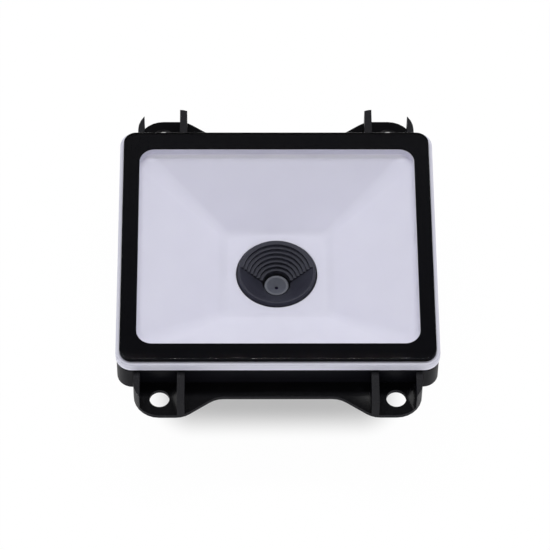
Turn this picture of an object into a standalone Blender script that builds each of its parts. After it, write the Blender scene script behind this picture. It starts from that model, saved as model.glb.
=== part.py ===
"""Fixed barcode reader: a glass window over a white light well with a stepped lens hood,
in a black moulded housing with four screw ears.

Metres, +Z up. The reader lies on its back, with the rear cover's flat back at z = 0 and the
window facing up. X runs along the window's width and Y along its length. Heights are worked
out as depths below the window's front face, from the front to the back, and level() turns a
depth into a height.
"""

import math

import bmesh
import bpy

# Clearances
SEAT = 0.0002  # between two faces that rest on each other
FIT = 0.0003  # round a piece that sits inside another

# Facets
SMOOTH_BELOW = math.radians(30)  # bend up to which two faces are shaded as one
CORNER_STEPS = 7  # of each rounded corner
TURN_STEPS = 40  # of the hood
OPTIC_STEPS = 24  # of the barrel, the lens and the buzzer
COLUMN_STEPS = 24  # of the screw columns, their pads and the counterbores
EAR_HOLE_STEPS = 28
POST_STEPS = 16
SMALL_STEPS = 12  # of screws and pilot holes
LENS_STEPS = 3  # from the lens's middle to its edge
ROUND_STEPS = 5  # of the back's rounded edge
BEND_LEAST = 3  # of any rounded corner, however small its turn

# Window glass and the black border bonded under it
GLASS_WIDTH = 0.0760
GLASS_LENGTH = 0.0680
GLASS_THICKNESS = 0.0010
GLASS_CORNER = 0.0030
GLASS_EDGE = 0.00025
BORDER_SIDE = 0.0038
BORDER_END = 0.0048
WINDOW_CORNER = 0.0038
TAPE_THICKNESS = 0.0003
TAPE_INSET = 0.0003

# White light ring under the glass's edge
RING_MARGIN = 0.0010
RING_HEIGHT = 0.0025
RING_EDGE = 0.0004
RING_RIM = 0.0011
RING_SHELF = 0.0021
RING_SKIRT = 0.0009

# White light well
LIP_HEIGHT = 0.0011
DIFFUSER_FLANGE = 0.0012
WELL_DEPTH = 0.0105
WELL_WALL = 0.0012
FLOOR_WIDTH = 0.0258
FLOOR_LENGTH = 0.0248
FLOOR_CORNER = 0.0012
THROAT_WALL = 0.0008  # how far the outer funnel starts below the diffuser's flange

# Black lens hood and the chassis plate moulded with it
HOOD_RISE = 0.0010
HOOD_RIM_RADIUS = 0.0095
HOOD_FOOT_RADIUS = 0.0098
HOOD_LIP = 0.0002
STEP_COUNT = 6
STEP_TOP_RADIUS = 0.0083
STEP_DROP = 0.00076
THROAT_RADIUS = 0.00345
THROAT_LENGTH = 0.00114
CONE_RADIUS = 0.0091  # smooth cone on the near side, at the rim
CONE_DEPTH = 0.0055  # from the rim to where it meets the throat; it passes outside every step
CONE_TURN = math.radians(9)  # how far past the middle line the cone goes on
HOOD_SEAT_WIDTH = 0.0020
LED_RECESS = 0.0021
CHASSIS_THICKNESS = 0.0015
CHASSIS_CORNER = 0.0010
COLLAR_WALL = 0.0024
COLLAR_LENGTH = 0.0023
POST_RADIUS = 0.0020
POST_INSET = 0.0038
TAB_WIDTH = 0.0070

# Lens barrel, lens and holder
BARREL_RADIUS = 0.0033
BARREL_LENGTH = 0.0060
BARREL_EDGE = 0.0004
BARREL_DISH_RADIUS = 0.0024
BARREL_DISH_DEPTH = 0.0012
APERTURE_RADIUS = 0.00042
LENS_RADIUS = 0.0021
LENS_THICKNESS = 0.0016
LENS_BULGE = 0.0003
HOLDER_WALL = 0.0018
HOLDER_BASE = 0.0120
HOLDER_CORNER = 0.0008
HOLDER_BASE_HEIGHT = 0.0024
HOLDER_REACH = 0.0026  # holder below the barrel's end
HOLLOW_MARGIN = 0.0010  # round the sensor
HOLLOW_HEIGHT = 0.0019
HOLLOW_CORNER = 0.0005
SENSOR_SIZE = 0.0070
SENSOR_THICKNESS = 0.0009

# Circuit boards and what they carry
LED_BOARD_THICKNESS = 0.0010
MAIN_BOARD_THICKNESS = 0.0012
BOARD_CORNER = 0.0010
BOARD_EDGE = 0.0010  # bare edge beside an LED, and half the space between two chips
LED_SIZE = 0.0028
LED_HEIGHT = 0.0007
LED_BASE = 0.00035
LED_TAPER = 0.0003
CHIP_SIZE = 0.0120
CHIP_THICKNESS = 0.0012
MEMORY_SIZE = 0.0080
BUZZER_RADIUS = 0.0045
BUZZER_HEIGHT = 0.0022
BUZZER_VENT = 0.0009
UNDER_BOARD = 0.0032
RIBBON_WIDTH = 0.0080
RIBBON_THICKNESS = 0.00025
RIBBON_REACH = 0.0020

# Data socket
SOCKET_WIDTH = 0.00894
SOCKET_HEIGHT = 0.00326
SOCKET_WALL = 0.0003
SOCKET_LENGTH = 0.0074
SOCKET_ROUND = 0.96  # share of the socket's half height that its corners are rounded by
TONGUE_WIDTH = 0.0067
TONGUE_THICKNESS = 0.0007
TONGUE_CORNER = 0.00028
TONGUE_LENGTH = 0.0046
RECESS_MARGIN = 0.0018
RECESS_DEPTH = 0.0009

# Front housing: outer wall, flange, ears, ribs and back box
WALL_INSET = 0.0002
WALL_THICKNESS = 0.0015
WALL_HEIGHT = 0.0051
WALL_EDGE = 0.0003
LEDGE_WIDTH = 0.0015
WALL_FOOT = 0.0009  # how far the wall goes on below the flange
FLANGE_THICKNESS = 0.0011
FLANGE_REACH = 0.00415
FLANGE_BITE = 0.7  # share of the wall's thickness that the flange reaches into
EAR_REACH = 0.00945
EAR_INSET = 0.0003
EAR_TIP = 0.0120
EAR_FLARE = 0.0078
EAR_CORNER = 0.0062
EAR_BLEND = 0.0059
EAR_HOLE = 0.0048
HOLE_FROM_SIDE = 0.00625
HOLE_FROM_WALL = 0.00465
OUTER_RIB = 0.00155
INNER_RIB = 0.0018
INNER_RIB_PLACE = 0.0114
RIB_BITE = 0.6  # share of the wall's thickness that the ribs reach into
RIB_STEP = 0.0006  # how far the ribs' tops drop beside the wall, under the light ring
BOX_WALL = 0.0018
BOX_CORNER = 0.0050
BOX_CLEAR_X = 0.0032
BOX_CLEAR_Y = 0.0008
COLUMN_RADIUS = 0.0029
COLUMN_PLACE = 0.0022
COLUMN_DROP = 0.0010
BOARD_MARGIN = 0.0010

# Rear cover, its seal and the screws
REAR_COVER_HEIGHT = 0.0038
REAR_COVER_FLOOR = 0.0018
BACK_ROUND = 0.0025
PAD_EXTRA = 0.0010
SEAL_WIDTH = 0.0006
SEAL_HEIGHT = 0.0006
COUNTERBORE = 0.0020
SCREW_RADIUS = 0.00125
SCREW_LENGTH = 0.0080
SCREW_HEAD_RADIUS = 0.0023
SCREW_HEAD_HEIGHT = 0.0016
SMALL_SCREW_RADIUS = 0.0009
SMALL_SCREW_LENGTH = 0.0040
SMALL_HEAD_RADIUS = 0.0017
SMALL_HEAD_HEIGHT = 0.0011

# Form of every screw, as shares of its own radius, head radius or head height
TIP_FLAT = 0.45
HEAD_DOME = 0.35
HEAD_FLAT = 0.8
CROSS_ARM = 0.6
CROSS_SLOT = 0.13
CROSS_TAPER = 0.6
CROSS_DEPTH = 0.6

# Depths below the window's front face, from the front to the back
tape_top = GLASS_THICKNESS + SEAT
rebate = tape_top + TAPE_THICKNESS + SEAT
ring_top = GLASS_THICKNESS + FIT
ring_bottom = ring_top + RING_HEIGHT
wall_top = ring_bottom + SEAT
flange_top = wall_top + WALL_HEIGHT
flange_bottom = flange_top + FLANGE_THICKNESS
wall_bottom = flange_bottom + WALL_FOOT
lip_bottom = rebate + LIP_HEIGHT
diffuser_flange_bottom = rebate + DIFFUSER_FLANGE
throat_depth = diffuser_flange_bottom + THROAT_WALL
ring_ledge_top = diffuser_flange_bottom + SEAT
skirt_bottom = ring_bottom + RING_SKIRT
ring_board_top = skirt_bottom + FIT + LED_HEIGHT + SEAT
ring_board_ledge = ring_board_top + LED_BOARD_THICKNESS + SEAT
well_floor = lip_bottom + WELL_DEPTH
well_floor_bottom = well_floor + WELL_WALL
hood_rim = well_floor - HOOD_RISE
hood_seat = well_floor_bottom + FIT
chassis_top = hood_seat + LED_RECESS
chassis_bottom = chassis_top + CHASSIS_THICKNESS
led_board_top = chassis_top - SEAT - LED_BOARD_THICKNESS
throat_top = hood_rim + STEP_COUNT * STEP_DROP
throat_bottom = throat_top + THROAT_LENGTH
barrel_front = throat_bottom + SEAT
barrel_dish = barrel_front + BARREL_DISH_DEPTH
collar_bottom = max(chassis_bottom, throat_bottom) + COLLAR_LENGTH
barrel_back = barrel_front + BARREL_LENGTH
holder_top = collar_bottom + FIT
holder_bottom = max(barrel_back, holder_top + HOLDER_BASE_HEIGHT) + HOLDER_REACH
main_board_top = holder_bottom + SEAT
main_board_bottom = main_board_top + MAIN_BOARD_THICKNESS
cover_inside = main_board_bottom + UNDER_BOARD
back = cover_inside + REAR_COVER_FLOOR
cover_screw_seat = back - COUNTERBORE
cover_rim = back - REAR_COVER_HEIGHT
box_bottom = cover_rim - SEAT

# Half sizes and places in plan
window_half = (GLASS_WIDTH / 2 - BORDER_SIDE, GLASS_LENGTH / 2 - BORDER_END)
floor_half = (FLOOR_WIDTH / 2, FLOOR_LENGTH / 2)
wall_offset = RING_MARGIN - WALL_INSET
wall_half = (GLASS_WIDTH / 2 + wall_offset, GLASS_LENGTH / 2 + wall_offset)
inside_offset = wall_offset - WALL_THICKNESS - FIT
ear_side = wall_half[0] - GLASS_CORNER - wall_offset - EAR_INSET
hood_seat_radius = HOOD_FOOT_RADIUS + HOOD_SEAT_WIDTH
seal_land = (BOX_WALL - SEAL_WIDTH - SEAT) / 2


def level(depth):
    """Height of a point that lies this deep below the window's front face."""
    return back - depth


def funnel_slopes():
    """For X and then Y: the floor's half size, the walls' fall per metre and their upright thickness."""
    slopes = []
    for window, floor in zip(window_half, floor_half):
        fall = WELL_DEPTH / (window - floor)
        slopes.append((floor, fall, WELL_WALL * math.sqrt(1 + fall * fall)))
    return slopes


def funnel_half(depth):
    """Half width and half length of the funnel's outer face at a depth."""
    return tuple(floor + (well_floor - depth + upright) / fall for floor, fall, upright in funnel_slopes())


def funnel_depth(x, y):
    """Depth of the funnel's outer face over a point in plan: the higher of its two slopes there."""
    return min(
        well_floor - (place - floor) * fall + upright
        for place, (floor, fall, upright) in zip((x, y), funnel_slopes())
    )


# Back box, and what lines up with its columns
box_inside = tuple(
    half + clear for half, clear in zip(funnel_half(flange_top), (BOX_CLEAR_X, BOX_CLEAR_Y))
)
column_at = tuple(half - COLUMN_PLACE for half in box_inside)
column_top = max(
    wall_bottom,
    funnel_depth(column_at[0] - COLUMN_RADIUS, column_at[1] - COLUMN_RADIUS) + COLUMN_DROP,
)
board_half = (column_at[0] - COLUMN_RADIUS - FIT, box_inside[1] - BOARD_MARGIN)
tab_at = column_at[0]
tab_boss_top = max(wall_bottom, funnel_depth(tab_at - COLUMN_RADIUS, 0) + COLUMN_DROP)
post_at = (board_half[0] - POST_INSET, board_half[1] - POST_INSET)
socket_mouth = box_inside[1] - FIT
socket_axis = level(main_board_top - SEAT - SOCKET_HEIGHT / 2)


# Outlines in plan


def rectangle(low, high):
    """The four corners, counter-clockwise, from the lowest to the highest one."""
    return [(low[0], low[1]), (high[0], low[1]), (high[0], high[1]), (low[0], high[1])]


def rounded_rectangle(half_x, half_y, radius):
    """Four quarter arcs, counter-clockwise, joined by straight sides."""
    points = []
    for corner, (sign_x, sign_y) in enumerate(((1, 1), (-1, 1), (-1, -1), (1, -1))):
        for step in range(CORNER_STEPS + 1):
            angle = math.pi / 2 * (corner + step / CORNER_STEPS)
            x = sign_x * (half_x - radius) + radius * math.cos(angle)
            y = sign_y * (half_y - radius) + radius * math.sin(angle)
            points.append((x, y))
    return points


def circle(radius, centre=(0.0, 0.0), steps=4 * (CORNER_STEPS + 1)):
    """As many points as a rounded rectangle has, half a step on, so that the two loft into each other."""
    turn = 2 * math.pi / steps
    angles = [turn * (i + 0.5) for i in range(steps)]
    return [(centre[0] + radius * math.cos(a), centre[1] + radius * math.sin(a)) for a in angles]


def glass_outline(offset=0.0):
    """The glass's outline moved out by an offset, or in by a negative one."""
    return rounded_rectangle(
        GLASS_WIDTH / 2 + offset, GLASS_LENGTH / 2 + offset, max(GLASS_CORNER + offset, 2 * FIT)
    )


def window_outline():
    return rounded_rectangle(*window_half, WINDOW_CORNER)


def funnel_outline(depth, offset=0.0):
    """Outline of the funnel's outer face at a depth: its corners tighten from the window to the floor."""
    half_x, half_y = funnel_half(depth)
    share = min(1, max(0, (well_floor - depth) / WELL_DEPTH))
    radius = FLOOR_CORNER + (WINDOW_CORNER - FLOOR_CORNER) * share + WELL_WALL / 2
    return rounded_rectangle(half_x + offset, half_y + offset, radius + offset)


def box_outline(offset=0.0):
    """The back box's inner outline, moved out by an offset."""
    return rounded_rectangle(
        box_inside[0] + offset, box_inside[1] + offset, BOX_CORNER - BOX_WALL + offset
    )


def corner_arc(before, corner, after, radius):
    """The arc that rounds a corner between its two neighbours."""
    x, y = corner
    sides = []
    for other in (before, after):
        length = math.hypot(other[0] - x, other[1] - y)
        sides.append(((other[0] - x) / length, (other[1] - y) / length))
    half = math.acos(sides[0][0] * sides[1][0] + sides[0][1] * sides[1][1]) / 2
    middle = (sides[0][0] + sides[1][0], sides[0][1] + sides[1][1])
    reach = radius / math.sin(half) / math.hypot(*middle)
    centre = (x + middle[0] * reach, y + middle[1] * reach)
    foot = radius / math.tan(half)
    start, end = (
        math.atan2(y + side[1] * foot - centre[1], x + side[0] * foot - centre[0]) for side in sides
    )
    sweep = (end - start + math.pi) % (2 * math.pi) - math.pi
    steps = max(BEND_LEAST, round(abs(sweep) / (math.pi / 2) * CORNER_STEPS))
    angles = [start + sweep * step / steps for step in range(steps + 1)]
    return [(centre[0] + radius * math.cos(a), centre[1] + radius * math.sin(a)) for a in angles]


def round_corners(corners):
    """A polygon of (x, y, radius) corners, each one turned into an arc unless its radius is 0."""
    points = []
    for i, (x, y, radius) in enumerate(corners):
        if radius == 0:
            points.append((x, y))
        else:
            before = corners[i - 1][:2]
            after = corners[(i + 1) % len(corners)][:2]
            points += corner_arc(before, (x, y), after, radius)
    return points


def ear_strip():
    """Outline of the far flange with its two ears, from inside the wall to the ears' tips."""
    root = wall_half[1] - WALL_THICKNESS / 2
    flange = wall_half[1] + FLANGE_REACH
    tip = wall_half[1] + EAR_REACH
    tip_corner = ear_side - EAR_TIP
    foot = tip_corner - EAR_FLARE
    right = [
        (ear_side, root, 0),
        (ear_side, tip, EAR_CORNER),
        (tip_corner, tip, EAR_BLEND),
        (foot, flange, EAR_BLEND),
    ]
    left = [(-x, y, radius) for x, y, radius in reversed(right)]
    return round_corners(right + left)


def chassis_outline():
    """The plate round the hood, with a tab at each side that reaches its boss in the housing."""
    half_x, half_y = board_half
    tip = box_inside[0] - FIT
    tab = TAB_WIDTH / 2
    right = [(half_x, -half_y), (half_x, -tab), (tip, -tab), (tip, tab), (half_x, tab), (half_x, half_y)]
    left = [(-x, -y) for x, y in right]
    return round_corners([(x, y, CHASSIS_CORNER) for x, y in right + left])


def four_ways(place):
    """A place in plan and its mirror images in X and Y."""
    x, y = place
    return [(x, y), (-x, y), (-x, -y), (x, -y)]


# Solids


def skin(bm, rows, ring=False):
    """Joins rows of points, all with the same count, into a tube.

    A ring joins the last row to the first; any other tube gets a cap at each end.
    """
    rows = [[bm.verts.new(point) for point in row] for row in rows]
    pairs = list(zip(rows, rows[1:]))
    if ring:
        pairs.append((rows[-1], rows[0]))
    else:
        bm.faces.new(rows[0])
        bm.faces.new(rows[-1])
    count = len(rows[0])
    for one, two in pairs:
        for i in range(count):
            j = (i + 1) % count
            bm.faces.new((one[i], one[j], two[j], two[i]))


def add_loft(bm, sections, ring=False):
    """A loft through outlines in plan, each at its own depth."""
    skin(bm, [[(x, y, level(depth)) for x, y in outline] for outline, depth in sections], ring)


def add_prism(bm, outline, top, bottom):
    """An outline in plan, from one depth to another."""
    add_loft(bm, [(outline, top), (outline, bottom)])


def add_along_y(bm, sections, ring=False):
    """A loft through upright outlines about the socket's axis, each at its own place along Y."""
    skin(bm, [[(x, y, socket_axis + z) for x, z in outline] for outline, y in sections], ring)


def add_turned(bm, profile, centre=(0.0, 0.0), steps=TURN_STEPS):
    """A profile of (radius, depth) points turned round an upright axis.

    A profile that starts and ends on the axis gives a solid; any other is joined end to start.
    """
    solid = profile[0][0] == 0 and profile[-1][0] == 0
    rows = []
    for radius, depth in profile:
        points = circle(radius, centre, steps) if radius else [centre]
        rows.append([bm.verts.new((x, y, level(depth))) for x, y in points])
    pairs = list(zip(rows, rows[1:]))
    if not solid:
        pairs.append((rows[-1], rows[0]))
    for one, two in pairs:
        for i in range(steps):
            j = (i + 1) % steps
            corners = [one[i % len(one)], one[j % len(one)], two[j % len(two)], two[i % len(two)]]
            bm.faces.new(list(dict.fromkeys(corners)))


def mesh_from(bm, name):
    """The finished mesh, its faces turned outwards, round stretches smooth and edges sharp."""
    bmesh.ops.recalc_face_normals(bm, faces=bm.faces)
    mesh = bpy.data.meshes.new(name)
    bm.to_mesh(mesh)
    bm.free()
    mesh.shade_smooth()
    mesh.set_sharp_from_angle(angle=SMOOTH_BELOW)
    return mesh


def add_object(name, bm, finish):
    obj = bpy.data.objects.new(name, mesh_from(bm, name))
    obj.data.materials.append(finish)
    bpy.context.collection.objects.link(obj)
    return obj


def combine(target, name, bm, operation):
    """Joins, cuts or trims a piece with a hidden shape."""
    tool = bpy.data.objects.new(name, mesh_from(bm, name))
    tool.hide_render = True
    tool.display_type = "WIRE"
    bpy.context.collection.objects.link(tool)
    modifier = target.modifiers.new(name, "BOOLEAN")
    modifier.operation = operation
    modifier.solver = "EXACT"
    modifier.object = tool
    return tool


def material(name, colour, roughness, metallic=0.0, clear=0.0):
    made = bpy.data.materials.new(name)
    made.use_nodes = True
    made.diffuse_color = (*colour, 1.0)
    shader = made.node_tree.nodes["Principled BSDF"]
    shader.inputs["Base Color"].default_value = (*colour, 1.0)
    shader.inputs["Roughness"].default_value = roughness
    shader.inputs["Metallic"].default_value = metallic
    shader.inputs["Transmission Weight"].default_value = clear
    return made


# Window, border, light ring and light well


def make_glass(finish):
    """A flat pane with its front edge ground off."""
    bm = bmesh.new()
    pane = glass_outline()
    add_loft(bm, [(glass_outline(-GLASS_EDGE), 0), (pane, GLASS_EDGE), (pane, GLASS_THICKNESS)])
    add_object("window_glass", bm, finish)


def make_tape(finish):
    """The black border: a thin frame from just inside the glass's edge to the clear window."""
    bottom = tape_top + TAPE_THICKNESS
    edge = glass_outline(-TAPE_INSET)
    window = window_outline()
    bm = bmesh.new()
    add_loft(bm, [(edge, tape_top), (edge, bottom), (window, bottom), (window, tape_top)], ring=True)
    add_object("window_tape", bm, finish)


def make_light_ring(finish):
    """A frame with a rebate for the glass's border, a ledge for the diffuser and a skirt inside the wall."""
    outer = glass_outline(RING_MARGIN)
    eased = glass_outline(RING_MARGIN - RING_EDGE)
    skirt = glass_outline(inside_offset)
    shelf = glass_outline(-RING_SHELF)
    rim = glass_outline(RING_MARGIN - RING_RIM)
    throat = funnel_outline(throat_depth, FIT)
    sections = [
        (eased, ring_top),
        (outer, ring_top + RING_EDGE),
        (outer, ring_bottom - RING_EDGE),
        (eased, ring_bottom),
        (skirt, ring_bottom),
        (skirt, skirt_bottom),
        (throat, skirt_bottom),
        (throat, ring_ledge_top),
        (shelf, ring_ledge_top),
        (shelf, rebate),
        (rim, rebate),
        (rim, ring_top),
    ]
    bm = bmesh.new()
    add_loft(bm, sections, ring=True)
    add_object("light_ring", bm, finish)


def make_diffuser(finish):
    """The white well: a flange under the glass, an upright lip and four sloped walls to a pierced floor."""
    flange = glass_outline(-RING_SHELF - FIT)
    throat = funnel_outline(throat_depth)
    hole = circle(HOOD_FOOT_RADIUS + FIT)
    window = window_outline()
    sections = [
        (flange, rebate),
        (flange, diffuser_flange_bottom),
        (throat, diffuser_flange_bottom),
        (throat, throat_depth),
        (funnel_outline(well_floor_bottom), well_floor_bottom),
        (hole, well_floor_bottom),
        (hole, well_floor),
        (rounded_rectangle(*floor_half, FLOOR_CORNER), well_floor),
        (window, lip_bottom),
        (window, rebate),
    ]
    bm = bmesh.new()
    add_loft(bm, sections, ring=True)
    add_object("diffuser", bm, finish)


# Lens hood and optics


def hood_profile():
    """Radius and depth of the hood, from the rim's outside down to the collar and back up the steps."""
    bore = BARREL_RADIUS + FIT
    profile = [
        (HOOD_RIM_RADIUS - HOOD_LIP, hood_rim),
        (HOOD_RIM_RADIUS, hood_rim + HOOD_LIP),
        (HOOD_FOOT_RADIUS, well_floor),
        (HOOD_FOOT_RADIUS, hood_seat),
        (hood_seat_radius, hood_seat),
        (hood_seat_radius, chassis_bottom + SEAT),
        (bore + COLLAR_WALL, chassis_bottom + SEAT),
        (bore + COLLAR_WALL, collar_bottom),
        (bore, collar_bottom),
        (bore, throat_bottom),
        (THROAT_RADIUS, throat_bottom),
    ]
    tread = (STEP_TOP_RADIUS - THROAT_RADIUS) / STEP_COUNT
    for step in range(STEP_COUNT):
        radius = THROAT_RADIUS + tread * step
        depth = throat_top - STEP_DROP * step
        profile += [(radius, depth), (radius + tread, depth)]
    profile.append((STEP_TOP_RADIUS, hood_rim))
    return profile


def add_near_cone(bm):
    """The space that takes the steps off the near side: a cone from the rim to the throat."""
    reach = (CONE_RADIUS - THROAT_RADIUS) / CONE_DEPTH
    inner = THROAT_RADIUS - FIT
    top = hood_rim - FIT
    profile = [
        (inner, top),
        (CONE_RADIUS + FIT * reach, top),
        (inner, hood_rim + CONE_DEPTH + FIT / reach),
    ]
    sweep = math.pi + 2 * CONE_TURN
    count = round(TURN_STEPS * sweep / (2 * math.pi))
    rows = []
    for step in range(count + 1):
        angle = CONE_TURN - sweep * step / count
        rows.append([(r * math.cos(angle), r * math.sin(angle), level(depth)) for r, depth in profile])
    skin(bm, rows)


def make_hood(finish):
    """One black moulding: the stepped hood, the chassis plate it stands on and four posts for the board."""
    bm = bmesh.new()
    add_turned(bm, hood_profile())
    hood = add_object("lens_hood", bm, finish)

    bm = bmesh.new()
    add_prism(bm, chassis_outline(), chassis_top, chassis_bottom)
    plate = combine(hood, "chassis_plate", bm, "UNION")
    bm = bmesh.new()
    add_prism(bm, circle(hood_seat_radius - FIT), chassis_top - FIT, chassis_bottom + FIT)
    combine(plate, "chassis_opening", bm, "DIFFERENCE")

    bm = bmesh.new()
    for place in four_ways(post_at):
        post = circle(POST_RADIUS, place, POST_STEPS)
        add_prism(bm, post, chassis_bottom - FIT, main_board_top - SEAT)
    combine(hood, "board_posts", bm, "UNION")

    bm = bmesh.new()
    add_near_cone(bm)
    combine(hood, "near_cone", bm, "DIFFERENCE")

    bm = bmesh.new()
    pilot_top = main_board_bottom - SMALL_SCREW_LENGTH - FIT
    for place in four_ways(post_at):
        add_prism(bm, circle(SMALL_SCREW_RADIUS + SEAT, place, SMALL_STEPS), pilot_top, main_board_top)
    for side in (1, -1):
        hole = circle(SMALL_SCREW_RADIUS + FIT, (side * tab_at, 0), SMALL_STEPS)
        add_prism(bm, hole, chassis_top - FIT, chassis_bottom + FIT)
    combine(hood, "chassis_holes", bm, "DIFFERENCE")


def make_barrel(finish):
    """A tube with a dished front, a small aperture in the dish's floor and a bore for the lens behind it."""
    bore = LENS_RADIUS + SEAT
    profile = [
        (BARREL_RADIUS - BARREL_EDGE, barrel_front),
        (BARREL_RADIUS, barrel_front + BARREL_EDGE),
        (BARREL_RADIUS, barrel_back),
        (bore, barrel_back),
        (bore, barrel_dish + SEAT + LENS_BULGE),
        (APERTURE_RADIUS, barrel_dish),
        (BARREL_DISH_RADIUS, barrel_front),
    ]
    bm = bmesh.new()
    add_turned(bm, profile, steps=OPTIC_STEPS)
    add_object("lens_barrel", bm, finish)


def make_lens(finish):
    """A glass with two domed faces, behind the aperture's sloped back."""
    front = barrel_dish + 3 * SEAT
    top = []
    bottom = []
    for step in range(LENS_STEPS + 1):
        share = step / LENS_STEPS
        bulge = LENS_BULGE * share * share
        top.append((LENS_RADIUS * share, front + bulge))
        bottom.append((LENS_RADIUS * share, front + LENS_THICKNESS - bulge))
    bm = bmesh.new()
    add_turned(bm, top + bottom[::-1], steps=OPTIC_STEPS)
    add_object("lens", bm, finish)


def make_holder(finish):
    """A square foot that turns into a round neck, bored for the barrel and hollow over the sensor."""
    half = HOLDER_BASE / 2
    hollow_half = SENSOR_SIZE / 2 + HOLLOW_MARGIN
    foot = rounded_rectangle(half, half, HOLDER_CORNER)
    hollow = rounded_rectangle(hollow_half, hollow_half, HOLLOW_CORNER)
    foot_top = holder_bottom - HOLDER_BASE_HEIGHT
    hollow_top = holder_bottom - HOLLOW_HEIGHT
    bore = circle(BARREL_RADIUS + FIT)
    neck = circle(BARREL_RADIUS + FIT + HOLDER_WALL)
    sections = [
        (foot, holder_bottom),
        (foot, foot_top),
        (neck, foot_top),
        (neck, holder_top),
        (bore, holder_top),
        (bore, hollow_top),
        (hollow, hollow_top),
        (hollow, holder_bottom),
    ]
    bm = bmesh.new()
    add_loft(bm, sections, ring=True)
    add_object("lens_holder", bm, finish)


# Boards and what they carry


def make_ring_board(finish):
    """A frame-shaped board on the wall's ledge, under the light ring."""
    outer = glass_outline(inside_offset)
    inner = funnel_outline(ring_board_top, 2 * FIT)
    bottom = ring_board_top + LED_BOARD_THICKNESS
    sections = [(outer, ring_board_top), (outer, bottom), (inner, bottom), (inner, ring_board_top)]
    bm = bmesh.new()
    add_loft(bm, sections, ring=True)
    add_object("ring_led_board", bm, finish)


def make_well_board(finish):
    """The board round the hood, under the sloped walls."""
    bottom = led_board_top + LED_BOARD_THICKNESS
    bm = bmesh.new()
    add_prism(bm, rounded_rectangle(*board_half, BOARD_CORNER), led_board_top, bottom)
    board = add_object("well_led_board", bm, finish)
    bm = bmesh.new()
    add_prism(bm, circle(hood_seat_radius + FIT), led_board_top - FIT, bottom + FIT)
    combine(board, "hood_hole", bm, "DIFFERENCE")


def make_main_board(finish):
    bm = bmesh.new()
    add_prism(bm, rounded_rectangle(*board_half, BOARD_CORNER), main_board_top, main_board_bottom)
    board = add_object("main_board", bm, finish)
    bm = bmesh.new()
    for place in four_ways(post_at):
        hole = circle(SMALL_SCREW_RADIUS + FIT, place, SMALL_STEPS)
        add_prism(bm, hole, main_board_top - FIT, main_board_bottom + FIT)
    combine(board, "screw_holes", bm, "DIFFERENCE")


def square(centre, half):
    x, y = centre
    return rectangle((x - half, y - half), (x + half, y + half))


def make_led(name, place, board_top, finish):
    """A square package whose upper part tapers to its lens."""
    half = LED_SIZE / 2
    foot = board_top - SEAT
    sections = [
        (square(place, half), foot),
        (square(place, half), foot - LED_BASE),
        (square(place, half - LED_TAPER), foot - LED_HEIGHT),
    ]
    bm = bmesh.new()
    add_loft(bm, sections)
    add_object(name, bm, finish)


def make_leds(finish):
    """Eight LEDs under the light ring, four at the corners of the well's board and four beside the hood."""
    inner = funnel_half(ring_board_top)
    side_x = (GLASS_WIDTH / 2 + inside_offset + inner[0] + 2 * FIT) / 2
    end_y = (GLASS_LENGTH / 2 + inside_offset + inner[1] + 2 * FIT) / 2
    ring_places = four_ways((side_x, inner[1] / 2)) + four_ways((inner[0] / 2, end_y))
    for number, place in enumerate(ring_places, 1):
        make_led(f"ring_led_{number}", place, ring_board_top, finish)

    edge = LED_SIZE / 2 + BOARD_EDGE
    beside = hood_seat_radius + FIT + edge
    well_places = four_ways((board_half[0] - edge, board_half[1] - edge))
    well_places += [(beside, 0), (-beside, 0), (0, beside), (0, -beside)]
    for number, place in enumerate(well_places, 1):
        make_led(f"well_led_{number}", place, led_board_top, finish)


def make_chip(name, centre, size, top, thickness, finish):
    """A flat square package."""
    bm = bmesh.new()
    add_prism(bm, square(centre, size / 2), top, top + thickness)
    add_object(name, bm, finish)


def make_chips(chip_finish, buzzer_finish):
    """The sensor on the board's front, and the decoder, memory and buzzer in a row on its back."""
    sensor_top = main_board_top - SEAT - SENSOR_THICKNESS
    make_chip("image_sensor", (0, 0), SENSOR_SIZE, sensor_top, SENSOR_THICKNESS, chip_finish)

    top = main_board_bottom + SEAT
    gap = 2 * BOARD_EDGE
    decoder_y = -board_half[1] + RIBBON_REACH + 2 * FIT + CHIP_SIZE / 2
    make_chip("decoder_chip", (0, decoder_y), CHIP_SIZE, top, CHIP_THICKNESS, chip_finish)
    memory_y = decoder_y + CHIP_SIZE / 2 + gap + MEMORY_SIZE / 2
    make_chip("memory_chip", (0, memory_y), MEMORY_SIZE, top, CHIP_THICKNESS, chip_finish)

    buzzer_y = memory_y + MEMORY_SIZE / 2 + gap + BUZZER_RADIUS
    bottom = top + BUZZER_HEIGHT
    profile = [
        (0, top),
        (BUZZER_RADIUS, top),
        (BUZZER_RADIUS, bottom),
        (BUZZER_VENT, bottom),
        (BUZZER_VENT, bottom - BUZZER_VENT),
        (0, bottom - BUZZER_VENT),
    ]
    bm = bmesh.new()
    add_turned(bm, profile, (0, buzzer_y), OPTIC_STEPS)
    add_object("buzzer", bm, buzzer_finish)


def make_ribbon(finish):
    """A flat cable bent round the boards' near edges, from the LED board's top to the main board's back."""
    edge = -board_half[1]
    inner = edge - SEAT
    outer = inner - RIBBON_THICKNESS
    start = edge + RIBBON_REACH
    upper = led_board_top - SEAT
    lower = main_board_bottom + SEAT
    profile = [
        (start, upper),
        (inner, upper),
        (inner, lower),
        (start, lower),
        (start, lower + RIBBON_THICKNESS),
        (outer, lower + RIBBON_THICKNESS),
        (outer, upper - RIBBON_THICKNESS),
        (start, upper - RIBBON_THICKNESS),
    ]
    half = RIBBON_WIDTH / 2
    bm = bmesh.new()
    skin(bm, [[(x, y, level(depth)) for y, depth in profile] for x in (-half, half)])
    add_object("ribbon_cable", bm, finish)


# Data socket in the far wall


def socket_section(width, height, inset=0.0):
    """A flat oblong with almost round ends."""
    half = height / 2 - inset
    return rounded_rectangle(width / 2 - inset, half, half * SOCKET_ROUND)


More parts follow.
